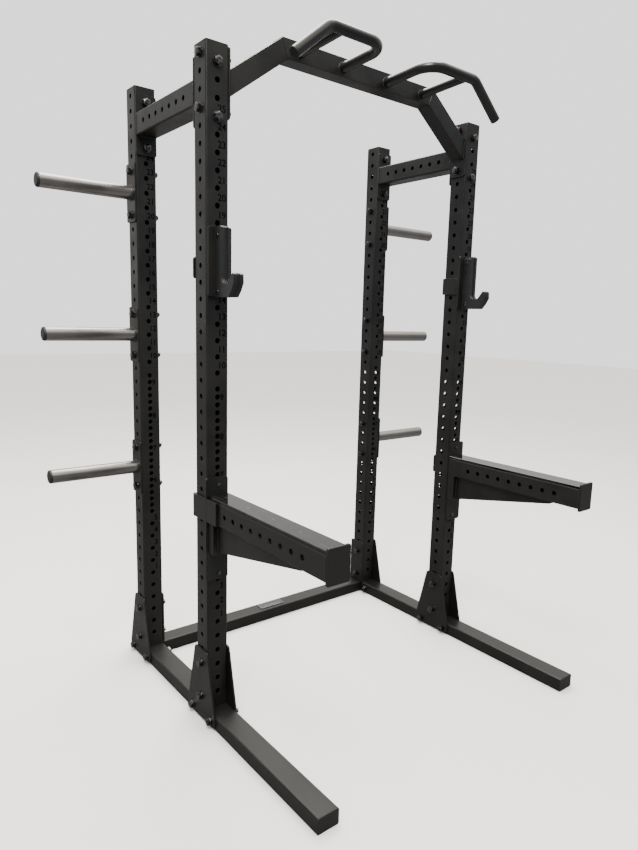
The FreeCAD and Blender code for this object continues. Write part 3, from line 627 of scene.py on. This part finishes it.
@dataclass(frozen=True)
class TubeStock:
    """Rectangular steel tube with rounded corners."""

    wall: float = 3.0 * MM
    corner: float = 6.0 * MM
    corner_steps: int = 5

    def make(self, name: str, low: Sequence[float], high: Sequence[float], along: Axis,
             holes: Sequence[HoleRow] = ()) -> Obj:
        """Length of tube with its holes.

        Args:
            name: the piece's name.
            low: lowest corner of its outside.
            high: highest corner of its outside.
            along: its direction.
            holes: the rows of holes through it.
        Returns:
            The new piece.
        """
        piece = Bench.block(name, low, high)
        direction = along.vector

        def runs_along(edge: Any) -> bool:
            """True for an edge parallel to the tube."""
            return abs((edge.verts[0].co - edge.verts[1].co).normalized().dot(direction)) > ALONG

        Bench.bevel(piece, self.corner, self.corner_steps, runs_along)
        Bench.edit(piece, "FACE", lambda face: abs(face.normal.dot(direction)) > ALONG)
        bpy.ops.mesh.delete(type="FACE")
        Bench.clear()
        Bench.apply(piece, "SOLIDIFY", thickness=self.wall, offset=-1.0, use_even_offset=True)
        for axis in Axis:
            rows = [row.cutter() for row in holes if row.along is axis]
            if rows:
                Bench.cut(piece, Bench.join("drills", rows))
        return Bench.smooth(piece)


@dataclass
class SubAssembly:
    """What every sub-assembly shares: its finishes and its body."""

    finishes: Finishes
    body: str = "frame"

    def dress(self, piece: Obj, slot: str = "frame_black", nodes: Iterable[str] = (),
              finish: Optional[Material] = None) -> Obj:
        """Gives a piece its finish, its body and the nodes that it stands for.

        Args:
            piece: the finished piece.
            slot: the record's material slot.
            nodes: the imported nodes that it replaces.
            finish: another finish than the slot's own.
        Returns:
            The same piece.
        """
        piece.data.materials.clear()
        piece.data.materials.append(finish or getattr(self.finishes, slot))
        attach(piece, self.body)
        names = list(nodes)
        if names:
            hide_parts(*names)
        log.info("%s: %d faces, replaces %s", piece.name, len(piece.data.polygons), names or "nothing")
        return piece

    def refine(self, node: str, slot: str = "frame_black", width: float = 0.8 * MM, steps: int = 2,
               finish: Optional[Material] = None) -> Obj:
        """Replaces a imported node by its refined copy."""
        return self.dress(Bench.refined(node, node + "_fine", width, steps), slot, [node], finish)

    def ring(self, name: str, centre: Sequence[float], axis: Axis, radius: float,
             bead: float = 3 * MM) -> Obj:
        """Undressed round weld bead.

        Args:
            name: the piece's name.
            centre: its middle.
            axis: the axis that it goes round.
            radius: radius of the tube that it goes round.
            bead: the bead's own radius.
        Returns:
            The new piece.
        """
        Bench.clear()
        bpy.ops.mesh.primitive_torus_add(location=centre, rotation=axis.turn, major_radius=radius + bead / 3,
                                         minor_radius=bead, major_segments=48, minor_segments=8)
        piece = bpy.context.object
        piece.name = name
        return Bench.settle(piece)

    def welded(self, name: str, beads: Sequence[Obj]) -> Obj:
        """Joins and dresses weld beads."""
        return self.dress(Bench.smooth(Bench.join(name, beads), 60.0), finish=self.finishes.weld)

    def bead(self, name: str, runs: Sequence[tuple[Sequence[float], Sequence[float]]],
             radius: float = 2.6 * MM) -> Obj:
        """Weld bead along straight runs.

        Args:
            name: the piece's name.
            runs: start and end of each run.
            radius: the bead's radius.
        Returns:
            The new piece.
        """
        sides, stride = 8, 4.0 * MM
        beads = []
        for start, end in runs:
            first, last = Vector(start), Vector(end)
            way = last - first
            Bench.clear()
            bpy.ops.mesh.primitive_cylinder_add(vertices=sides, radius=radius, depth=way.length,
                                                location=(first + last) / 2)
            run = bpy.context.object
            run.rotation_euler = way.to_track_quat("Z", "Y").to_euler()
            Bench.settle(run)
            Bench.edit(run, "EDGE", lambda edge: edge.calc_length() > way.length * 0.9)
            bpy.ops.mesh.subdivide(number_cuts=max(1, int(way.length / stride)))
            Bench.clear()
            beads.append(run)
        return self.welded(name, beads)


# ---- uprights ----
@dataclass
class Uprights(SubAssembly):
    """The four drilled uprights with their numerals and caps."""

    top_hole_down: float = 50 * MM
    pitch: float = 50 * MM
    wide_upper: int = 20
    fine: int = 21
    wide_lower: int = 10
    side_count: int = 39
    side_first_up: float = 25 * MM
    low_bolt_z: float = 88 * MM
    upper_labels: range = range(25, 9, -1)
    fine_labels: range = range(9, 5, -1)
    lower_labels: range = range(5, 0, -1)
    first_label_down: float = 150 * MM
    fine_label_pitch: float = 125 * MM
    numeral_height: float = 28 * MM
    numeral_right: float = 15 * MM
    numeral_up: float = 14 * MM
    numeral_proud: float = 0.12 * MM
    numeral_weight: float = 0.45 * MM
    stock: TubeStock = TubeStock()

    def stretches(self) -> tuple[float, float]:
        """How far the fine and the lower stretch of front holes start below the top hole."""
        fine_down = self.pitch * (self.wide_upper - 1) + self.pitch / 2
        return fine_down, fine_down + self.pitch / 2 * (self.fine - 1) + self.pitch

    def rows(self, low: Vector, high: Vector) -> list[HoleRow]:
        """The rows of holes of an upright between two corners."""
        top = high.z - self.top_hole_down
        fine_down, lower_down = self.stretches()
        x, y = (low.x + high.x) / 2, (low.y + high.y) / 2
        full, half = (0, 0, -self.pitch), (0, 0, -self.pitch / 2)
        return [HoleRow((x, y, top), full, self.wide_upper, Axis.Y),
                HoleRow((x, y, top - fine_down), half, self.fine, Axis.Y),
                HoleRow((x, y, top - lower_down), full, self.wide_lower, Axis.Y),
                HoleRow((x, y, top + self.side_first_up), full, self.side_count, Axis.X),
                HoleRow((x, y, self.low_bolt_z), full, 1, Axis.X)]

    def numbered(self) -> list[tuple[int, float]]:
        """Each number and how far its hole is below the top hole."""
        fine_down, lower_down = self.stretches()
        stretches = ((self.upper_labels, self.first_label_down, self.pitch),
                     (self.fine_labels, fine_down + self.pitch / 2, self.fine_label_pitch),
                     (self.lower_labels, lower_down, self.pitch))
        return [(label, first + stride * step) for labels, first, stride in stretches
                for step, label in enumerate(labels)]

    def numerals(self, name: str, low: Vector, high: Vector) -> Obj:
        """Marked numbers on the front face of an upright."""
        x = (low.x + high.x) / 2 + self.numeral_right
        top = high.z - self.top_hole_down
        words = []
        for number, down in self.numbered():
            Bench.clear()
            bpy.ops.object.text_add(location=(x, low.y, top - down + self.numeral_up),
                                    rotation=(math.pi / 2, 0, 0))
            word = bpy.context.object
            word.data.body = str(number)
            word.data.align_x = "CENTER"
            word.data.size = self.numeral_height
            word.data.extrude = self.numeral_proud
            word.data.resolution_u = 3
            word.data.offset = self.numeral_weight
            Bench.hold(word)
            bpy.ops.object.convert(target="MESH")
            words.append(Bench.settle(bpy.context.object))
        return self.dress(Bench.join(name, words), finish=self.finishes.numeral)

    def build(self) -> None:
        """Models one upright and copies it to the other three places."""
        first_low, first_high = corners("upright_front_left")
        rows = self.rows(first_low, first_high)
        model = self.stock.make("upright_model", first_low, first_high, Axis.Z, rows)
        for place in ("front", "rear"):
            for side in Side:
                node = f"upright_{place}_{side.word}"
                low, high = corners(node)
                piece = Bench.copy(model, node + "_fine", low - first_low)
                self.dress(piece, nodes=[node])
                self.numerals(f"numerals_{place}_{side.word}", low, high)
        bpy.data.objects.remove(model, do_unlink=True)
        self.refine("upright_caps", "plug_plastic", 1.2 * MM, 3)


# ---- floor frame ----
@dataclass
class FloorFrame(SubAssembly):
    """Rails, gussets, the rear floor tube and its blank badge."""

    bolt_reach: float = 62.5 * MM
    rim_height: float = 0.6 * MM
    rim_width: float = 2.5 * MM
    stock: TubeStock = TubeStock()

    def build(self) -> None:
        """Models the rails and tubes and refines the plates."""
        for side in Side:
            node = "base_rail_" + side.word
            low, high = corners(node)
            rows = []
            for place in ("front", "rear"):
                post_low, post_high = corners(f"upright_{place}_{side.word}")
                middle = (post_low + post_high) / 2
                first = (middle.x, middle.y - self.bolt_reach, (low.z + high.z) / 2)
                rows.append(HoleRow(first, (0, 2 * self.bolt_reach, 0), 2, Axis.X))
            self.dress(self.stock.make(node + "_fine", low, high, Axis.Y, rows), nodes=[node])
        cross = self.stock.make("rear_cross_tube_fine", *corners("rear_cross_tube"), Axis.X)
        self.dress(cross, nodes=["rear_cross_tube"])
        self.refine("gusset_plates", width=PLATE_EDGE)
        self.refine("cross_tube_end_plates", width=PLATE_EDGE)
        self.refine("rail_end_caps", "plug_plastic")
        self.refine("blank_name_plate", "badge_metal", 0.3 * MM)
        self.badge_rim()

    def badge_rim(self) -> None:
        """Raised bright rim round the blank plate."""
        low, high = corners("blank_name_plate")
        low.z = high.z
        high.z += self.rim_height
        piece = Bench.block("name_plate_rim", low, high)
        Bench.edit(piece, "FACE", lambda face: abs(face.normal.z) > ALONG)
        bpy.ops.mesh.inset(thickness=self.rim_width, depth=0.0)
        bpy.ops.mesh.bridge_edge_loops()
        Bench.clear()
        self.dress(Bench.smooth(piece), "badge_metal", (), self.finishes.pin_steel)


# ---- top frame ----
@dataclass
class TopFrame(SubAssembly):
    """Side tubes, flanges and the raised pull-up bar with its grips."""

    side_holes: int = 7
    pitch: float = 50 * MM
    bar_corner: float = 5.0 * MM
    grip_radius: float = 16.5 * MM
    brace_radius: float = 15 * MM
    root_drop: float = 3 * MM
    grip_bead: float = 1.8 * MM
    bar_bead: float = 1.6 * MM
    bar_edge: float = 4.0 * MM
    stock: TubeStock = TubeStock()

    def side_tubes(self) -> None:
        """The two drilled tubes that join the uprights at the top."""
        for side in Side:
            node = "side_tube_" + side.word
            low, high = corners(node)
            middle = (low + high) / 2
            first = (middle.x, middle.y - self.pitch * (self.side_holes - 1) / 2, middle.z)
            row = HoleRow(first, (0, self.pitch, 0), self.side_holes, Axis.X)
            self.dress(self.stock.make(node + "_fine", low, high, Axis.Y, [row]), nodes=[node])
            runs = []
            inset = self.stock.corner
            for y in (low.y, high.y):
                runs += [((low.x + inset, y, low.z), (high.x - inset, y, low.z)),
                         ((low.x + inset, y, high.z), (high.x - inset, y, high.z)),
                         ((low.x, y, low.z + inset), (low.x, y, high.z - inset)),
                         ((high.x, y, low.z + inset), (high.x, y, high.z - inset))]
            self.bead(f"side_tube_{side.word}_welds", runs)

    def grip_welds(self) -> None:
        """Round beads where the grips and braces leave the bar's front face."""
        low, high = corners("pullup_top_tube")
        z = (low.z + high.z) / 2 - self.root_drop
        inner = abs(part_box("pullup_grip_left")[1][0]) + self.grip_radius
        outer = abs(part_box("pullup_braces")[0][0]) - self.brace_radius
        rings = []
        for side in Side:
            for x, radius in ((inner, self.grip_radius), (outer, self.brace_radius)):
                root = (side.value * x, low.y, z)
                rings.append(self.ring("grip_ring", root, Axis.Y, radius, self.grip_bead))
        self.welded("grip_welds", rings)

    def bar_welds(self) -> None:
        """Beads round the mitres of the bar and the feet of the risers."""
        low, high = corners("pullup_top_tube")
        inset = self.bar_corner
        top_x = Bench.slice("pullup_top_tube", Axis.Z, high.z)[1].x
        bottom_x = Bench.slice("pullup_top_tube", Axis.Z, low.z)[1].x
        foot_x = abs(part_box("pullup_risers")[0][0])
        foot_low, foot_high = Bench.slice("pullup_risers", Axis.X, -foot_x)
        for side in Side:
            top, bottom, foot = (side.value * x for x in (top_x, bottom_x, foot_x))
            runs = [((top, low.y + inset, high.z), (top, high.y - inset, high.z)),
                    ((bottom, low.y + inset, low.z), (bottom, high.y - inset, low.z))]
            for y in (low.y, high.y):
                runs.append(((top, y, high.z - inset), (bottom, y, low.z + inset)))
                runs.append(((foot, y, foot_low.z + inset), (foot, y, foot_high.z - inset)))
            for z in (foot_low.z, foot_high.z):
                runs.append(((foot, low.y + inset, z), (foot, high.y - inset, z)))
            self.bead(f"bar_{side.word}_welds", runs, self.bar_bead)

    def build(self) -> None:
        """Models the side tubes and refines the rest."""
        self.side_tubes()
        self.grip_welds()
        self.bar_welds()
        self.refine("end_flanges", width=PLATE_EDGE)
        self.refine("pullup_top_tube", width=self.bar_edge, steps=4)
        self.refine("pullup_risers", width=self.bar_edge, steps=4)
        for side in Side:
            self.refine("pullup_grip_" + side.word, "frame_black", 0.0, finish=self.finishes.smooth_black)
        self.refine("pullup_braces", "frame_black", 0.0, finish=self.finishes.smooth_black)
        self.refine("grip_end_plugs", "plug_plastic", 1.5 * MM, 3)


# ---- plate horns ----
@dataclass
class PlateHorns(SubAssembly):
    """Six round horns with their plates and rounded end plugs."""

    radius: float = 24 * MM
    plug_round: float = 6 * MM
    tube_edge: float = 0.6 * MM
    levels: int = 3
    sides: int = 48

    def build(self) -> None:
        """Models one horn and one plug and copies them to every place."""
        self.refine("horn_plates", width=PLATE_EDGE)
        low, high = corners("horn_tubes")
        plate_x = corners("horn_plates")[0].x
        plug_x = corners("horn_end_caps")[0].x
        length = plate_x - low.x
        y = (low.y + high.y) / 2
        rise = (high.z - low.z - 2 * self.radius) / (self.levels - 1)
        tubes, plugs, welds = [], [], []
        for side in Side:
            for level in range(self.levels):
                z = low.z + self.radius + rise * level
                x = side.value * abs(low.x + length / 2)
                name = f"horn_{side.word}_{level + 1}"
                middle = Vector((x, y, z))
                tubes.append(Bench.round_bar(name, middle, Axis.X, self.radius, length, self.sides))
                plugs.append(self.plug(name + "_plug", side, low.x, plug_x, y, z))
                root = (side.value * abs(plate_x), y, z)
                welds.append(self.ring(name + "_weld", root, Axis.X, self.radius))
        tube = Bench.soften(Bench.join("horn_tubes_fine", tubes), self.tube_edge)
        self.dress(tube, nodes=["horn_tubes"], finish=self.finishes.horn_steel)
        self.dress(Bench.smooth(Bench.join("horn_end_caps_fine", plugs), 50.0), "plug_plastic",
                   ["horn_end_caps"])
        self.welded("horn_welds", welds)

    def plug(self, name: str, side: Side, tube_end: float, plug_end: float, y: float, z: float) -> Obj:
        """Plug with a rounded rim in the outer end of a horn."""
        depth = abs(plug_end - tube_end)
        x = side.value * (abs(tube_end) + depth / 2)
        piece = Bench.round_bar(name, Vector((x, y, z)), Axis.X, self.radius, depth, self.sides)
        outer = abs(plug_end)
        Bench.bevel(piece, self.plug_round, 6,
                    lambda edge: all(abs(abs(v.co.x) - outer) < NEAR for v in edge.verts))
        return piece


# ---- fasteners ----
@dataclass(frozen=True)
class Bolt:
    """A bolt's place: its washer face, its direction and the thickness it clamps."""

    point: tuple[float, float, float]
    way: tuple[float, float, float]
    clamped: float


@dataclass
class Fasteners(SubAssembly):
    """Hex bolts, washers and nuts of the frame."""

    flats: float = 24 * MM
    head: float = 10 * MM
    nut: float = 13 * MM
    thread: float = 4 * MM
    bolt_radius: float = 8 * MM
    washer_radius: float = 15 * MM
    washer: float = 3 * MM
    plate: float = 6 * MM
    crown: float = 1.25         # radius of the ball that rounds a hexagon's corners, in flats
    crown_depth: float = 0.35   # share of the ball's full depth that is used
    top_hole_down: float = 50 * MM
    gusset_bolts_z: tuple[float, float] = (208 * MM, 88 * MM)
    foot_bolt_z: float = 25 * MM
    foot_bolt_reach: float = 62.5 * MM
    side_tube_downs: tuple[float, float] = (0.0, 150 * MM)
    pullup_downs: tuple[float, float] = (-25 * MM, 125 * MM)
    horn_downs: tuple[float, float, float] = (300 * MM, 800 * MM, 1300 * MM)
    horn_bolt_reach: float = 75 * MM

    def hexagon(self, name: str, height: float, both_ends: bool) -> Obj:
        """Six-sided head or nut standing on Z = 0, with its corners chamfered round."""
        Bench.clear()
        corner = self.flats / math.sqrt(3)
        bpy.ops.mesh.primitive_cylinder_add(vertices=6, radius=corner, depth=height,
                                            location=(0, 0, height / 2))
        piece = Bench.settle(bpy.context.object)
        piece.name = name
        ball_radius = self.crown * self.flats
        depth = self.crown_depth * (ball_radius - math.sqrt(ball_radius ** 2 - (self.flats / 2) ** 2))
        centres = [height - ball_radius + depth]
        if both_ends:
            centres.append(ball_radius - depth)
        for z in centres:
            Bench.clear()
            bpy.ops.mesh.primitive_uv_sphere_add(segments=32, ring_count=32, radius=ball_radius,
                                                 location=(0, 0, z))
            ball = Bench.settle(bpy.context.object)
            Bench.apply(piece, "BOOLEAN", operation="INTERSECT", solver="EXACT", object=ball)
            bpy.data.objects.remove(ball, do_unlink=True)
        return piece

    def disc(self, name: str, radius: float, height: float, edge: float) -> Obj:
        """Round disc on Z = 0 with broken edges."""
        piece = Bench.round_bar(name, Vector((0, 0, height / 2)), Axis.Z, radius, height, 32)
        Bench.bevel(piece, edge, 2, lambda e: abs(e.verts[0].co.z - e.verts[1].co.z) < NEAR)
        return piece

    def places(self) -> list[Bolt]:
        """Every bolt of both sides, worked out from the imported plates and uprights."""
        bolts: list[Bolt] = []
        for side in Side:
            sign = side.value
            inwards = (-sign, 0.0, 0.0)
            for place, lead in (("front", 1.0), ("rear", -1.0)):
                low, high = corners(f"upright_{place}_{side.word}")
                middle = (low + high) / 2
                tube = high.x - low.x
                face_x = middle.x + sign * tube / 2
                plate_x = face_x + sign * self.plate
                top = high.z - self.top_hole_down
                for z in self.gusset_bolts_z:
                    bolts.append(Bolt((plate_x, middle.y, z), inwards, tube + 2 * self.plate))
                lower = tube + (2 if place == "front" else 1) * self.plate
                for reach in (-self.foot_bolt_reach, self.foot_bolt_reach):
                    bolts.append(Bolt((plate_x, middle.y + reach, self.foot_bolt_z), inwards, lower))
                for down in self.side_tube_downs:
                    face = (middle.x, middle.y - lead * tube / 2, top - down)
                    bolts.append(Bolt(face, (0.0, lead, 0.0), tube + self.plate))
                downs = [(face_x, down) for down in self.pullup_downs]
                if place == "rear":
                    downs = [(plate_x, down + reach) for down in self.horn_downs
                             for reach in (-self.horn_bolt_reach, self.horn_bolt_reach)]
                for x, down in downs:
                    bolts.append(Bolt((x, middle.y, top - down), inwards, tube + self.plate))
        return bolts

    def build(self) -> None:
        """Models one of each and copies it to every place."""
        models = {"hex_bolts": self.hexagon("head_model", self.head, False),
                  "hex_nuts": self.hexagon("nut_model", self.nut, True),
                  "washers": self.disc("washer_model", self.washer_radius, self.washer, 0.5 * MM),
                  "tip": self.disc("tip_model", self.bolt_radius, self.thread, 1.0 * MM)}
        made: dict[str, list[Obj]] = {key: [] for key in models}
        for bolt in self.places():
            way, point = Vector(bolt.way), Vector(bolt.point)
            behind = bolt.clamped + self.washer
            for key, start, facing in (("hex_bolts", -self.washer, -1), ("washers", 0.0, -1),
                                       ("washers", bolt.clamped, 1), ("hex_nuts", behind, 1),
                                       ("tip", behind + self.nut, 1)):
                twin = Bench.copy(models[key], key + "_copy")
                turn = (way * facing).to_track_quat("Z", "Y").to_matrix().to_4x4()
                twin.data.transform(Matrix.Translation(point + way * start) @ turn)
                made[key].append(twin)
        made["hex_bolts"] += made.pop("tip")
        for key, pieces in made.items():
            joined = Bench.smooth(Bench.join(key + "_fine", pieces), 30.0)
            self.dress(joined, "bolt_steel", [key])
        for model in models.values():
            bpy.data.objects.remove(model, do_unlink=True)


# ---- J-cups ----
@dataclass
class JCup(SubAssembly):
    """One lift-off J-cup."""

    side: Side = Side.LEFT
    pin_edge: float = 1.0 * MM
    hook_edge: float = 0.6 * MM
    cheek_edge: float = 2.2 * MM

    def build(self) -> None:
        """Refines the cup's nodes."""
        stem = f"j_cup_{self.side.word}_"
        self.refine(stem + "back_plate")
        self.refine(stem + "strap")
        self.refine(stem + "pin", "pin_steel", self.pin_edge)
        self.refine(stem + "hook", width=self.hook_edge)
        self.refine(stem + "cheeks", "liner_plastic", self.cheek_edge, 4, self.finishes.satin_pad)
        self.refine(stem + "screws", "bolt_steel", steps=3)


# ---- spotter arms ----
@dataclass
class SpotterArm(SubAssembly):
    """One lift-off spotter arm."""

    side: Side = Side.LEFT
    holes: int = 9
    pitch: float = 50 * MM
    first_hole: float = 70.7 * MM       # in front of the spine
    pin_edge: float = 1.0 * MM
    spine_edge: float = 2.0 * MM
    gusset_edge: float = 1.5 * MM
    strip_edge: float = 0.5 * MM
    screw_edge: float = 0.3 * MM
    weld_bead: float = 1.8 * MM
    stock: TubeStock = TubeStock()

    def build(self) -> None:
        """Models the drilled tube and refines the rest of the arm."""
        stem = f"spotter_{self.side.word}_"
        node = stem + "arm_tube"
        low, high = corners(node)
        middle = (low + high) / 2
        first = (middle.x, corners(stem + "spine")[0].y - self.first_hole, middle.z)
        row = HoleRow(first, (0, -self.pitch, 0), self.holes, Axis.X)
        self.dress(self.stock.make(node + "_fine", low, high, Axis.Y, [row]), nodes=[node])
        self.welds(stem, low, high)
        self.refine(stem + "back_plate")
        self.refine(stem + "spine", width=self.spine_edge, steps=3)
        self.refine(stem + "strap")
        self.refine(stem + "pin", "pin_steel", self.pin_edge)
        self.refine(stem + "gusset", width=self.gusset_edge, steps=3)
        self.refine(stem + "end_plate")
        self.refine(stem + "top_strip", "liner_plastic", self.strip_edge)
        self.refine(stem + "screws", "bolt_steel", self.screw_edge)

    def welds(self, stem: str, low: Vector, high: Vector) -> None:
        """Beads round the arm's root and end and along the gusset.

        Args:
            stem: start of the arm's node names.
            low: lowest corner of the arm tube.
            high: highest corner of the arm tube.
        """
        inset = self.stock.corner
        runs = []
        for y in (low.y, high.y):
            runs += [((x, y, low.z + inset), (x, y, high.z - inset)) for x in (low.x, high.x)]
        runs.append(((low.x + inset, low.y, low.z), (high.x - inset, low.y, low.z)))
        gusset_low, gusset_high = corners(stem + "gusset")
        tip, root, bottom, top = gusset_low.y, gusset_high.y, gusset_low.z, gusset_high.z
        for x in (gusset_low.x, gusset_high.x):
            runs.append(((x, root, bottom + inset), (x, root, top - inset)))
            runs.append(((x, tip + 2 * inset, top), (x, root - inset, top)))
        self.bead(stem + "welds", runs, self.weld_bead)


# ---- studio ----
@dataclass(frozen=True)
class Lamp:
    """Soft square lamp aimed at a point."""

    name: str
    place: tuple[float, float, float]
    target: tuple[float, float, float]
    size: float
    power: float
    tint: Colour = (1.0, 1.0, 1.0)

    def build(self) -> None:
        """Makes the lamp."""
        data = bpy.data.lights.new(self.name, "AREA")
        data.shape = "SQUARE"
        data.size = self.size
        data.energy = self.power
        data.color = self.tint
        lamp = bpy.data.objects.new(self.name, data)
        lamp.location = self.place
        aim = Vector(self.target) - Vector(self.place)
        lamp.rotation_euler = aim.to_track_quat("-Z", "Y").to_euler()
        bpy.context.collection.objects.link(lamp)


@dataclass
class Studio:
    """Camera, soft lights and pale floor."""

    eye: tuple[float, float, float] = (-1.5705, -1.8018, 1.3575)
    yaw: float = 51.396
    pitch: float = 9.514
    roll: float = 1.547
    lens: float = 27.43
    shift: tuple[float, float] = (-0.0053, 0.0031)
    bright_way: tuple[float, float, float] = (0.62, 0.78, 0.0)
    fade: tuple[float, float] = (-0.10, 0.85)
    wall_share: float = 0.45
    ceiling: tuple[float, float] = (0.35, 0.75)
    dim: Colour = (0.170, 0.190, 0.215)
    bright: Colour = (1.0, 0.94, 0.85)
    room_strength: float = 2.2
    backdrop_strength: float = 2.14
    floor_size: float = 40.0
    lamps: tuple[Lamp, ...] = (
        Lamp("overhead", (0.5, 1.4, 4.8), (0.0, 0.2, 0.0), 3.2, 300.0),
        Lamp("key", (-1.8, -1.4, 4.2), (-0.8, 0.5, 1.2), 1.5, 150.0, (1.0, 0.96, 0.90)))

    def camera(self) -> None:
        """Places the camera."""
        data = bpy.data.cameras.new("camera")
        data.lens = self.lens
        data.sensor_width = 36.0
        data.shift_x, data.shift_y = self.shift
        data.clip_end = 100.0
        camera = bpy.data.objects.new("camera", data)
        bpy.context.collection.objects.link(camera)
        yaw, pitch, roll = (math.radians(a) for a in (self.yaw, self.pitch, self.roll))
        ahead = Vector((math.cos(yaw) * math.cos(pitch), math.sin(yaw) * math.cos(pitch), -math.sin(pitch)))
        level = Vector((math.sin(yaw), -math.cos(yaw), 0.0))
        above = level.cross(ahead)
        right = level * math.cos(roll) + above * math.sin(roll)
        up = above * math.cos(roll) - level * math.sin(roll)
        turn = Matrix((right, up, -ahead)).transposed().to_4x4()
        camera.matrix_world = Matrix.Translation(self.eye) @ turn
        bpy.context.scene.camera = camera

    def sky(self) -> None:
        """Room that is dim and cool in front and bright and warm behind, seen as a plain pale backdrop."""
        world = bpy.data.worlds.new("studio_sky")
        nodes = NodeTree(world)
        nodes.tree.nodes.remove(nodes.tree.nodes["Background"])
        way = nodes.node("ShaderNodeTexCoord", {}, {}, "Generated")
        facing = nodes.node("ShaderNodeVectorMath", {"operation": "DOT_PRODUCT"},
                            {0: way, 1: self.bright_way}, "Value")
        wall = facing.step(*self.fade) * self.wall_share
        height = nodes.node("ShaderNodeSeparateXYZ", {}, {0: way}, "Z")
        tint = nodes.mix(wall.larger(height.step(*self.ceiling)), self.dim, self.bright)
        room = nodes.node("ShaderNodeBackground", {}, {"Color": tint, "Strength": self.room_strength})
        backdrop = nodes.node("ShaderNodeBackground", {}, {"Strength": self.backdrop_strength})
        surface = nodes.tree.nodes["World Output"].inputs["Surface"]
        nodes.feed(surface, nodes.seen_directly(room, backdrop))
        bpy.context.scene.world = world

    def build(self) -> None:
        """Builds the camera, the sky, the lamps and the floor."""
        self.camera()
        self.sky()
        for lamp in self.lamps:
            lamp.build()
        Bench.clear()
        bpy.ops.mesh.primitive_plane_add(size=self.floor_size, location=(0, 0, 0))
        floor = bpy.context.object
        floor.name = "studio_floor"
        floor.data.materials.append(StudioFloor().make())


def main() -> None:
    """Builds the studio and every sub-assembly in order."""
    logging.basicConfig(level=logging.INFO, format="%(name)s %(message)s")
    Studio().build()
    finishes = Finishes()
    for name, node in frame["nodes"].items():
        slot = next(s["material_slot"] for s in frame["record"]["subparts"] if s["node"] == name)
        node.data.materials.clear()
        node.data.materials.append(getattr(finishes, slot))
    parts: list[Any] = [Uprights(finishes), FloorFrame(finishes), TopFrame(finishes), PlateHorns(finishes),
                        Fasteners(finishes)]
    for side in Side:
        parts.append(JCup(finishes, "j_cup_" + side.word, side))
        parts.append(SpotterArm(finishes, "spotter_" + side.word, side))
    for part in parts:
        part.build()
        log.info("%s done", type(part).__name__)


if __name__ == "__main__":
    main()
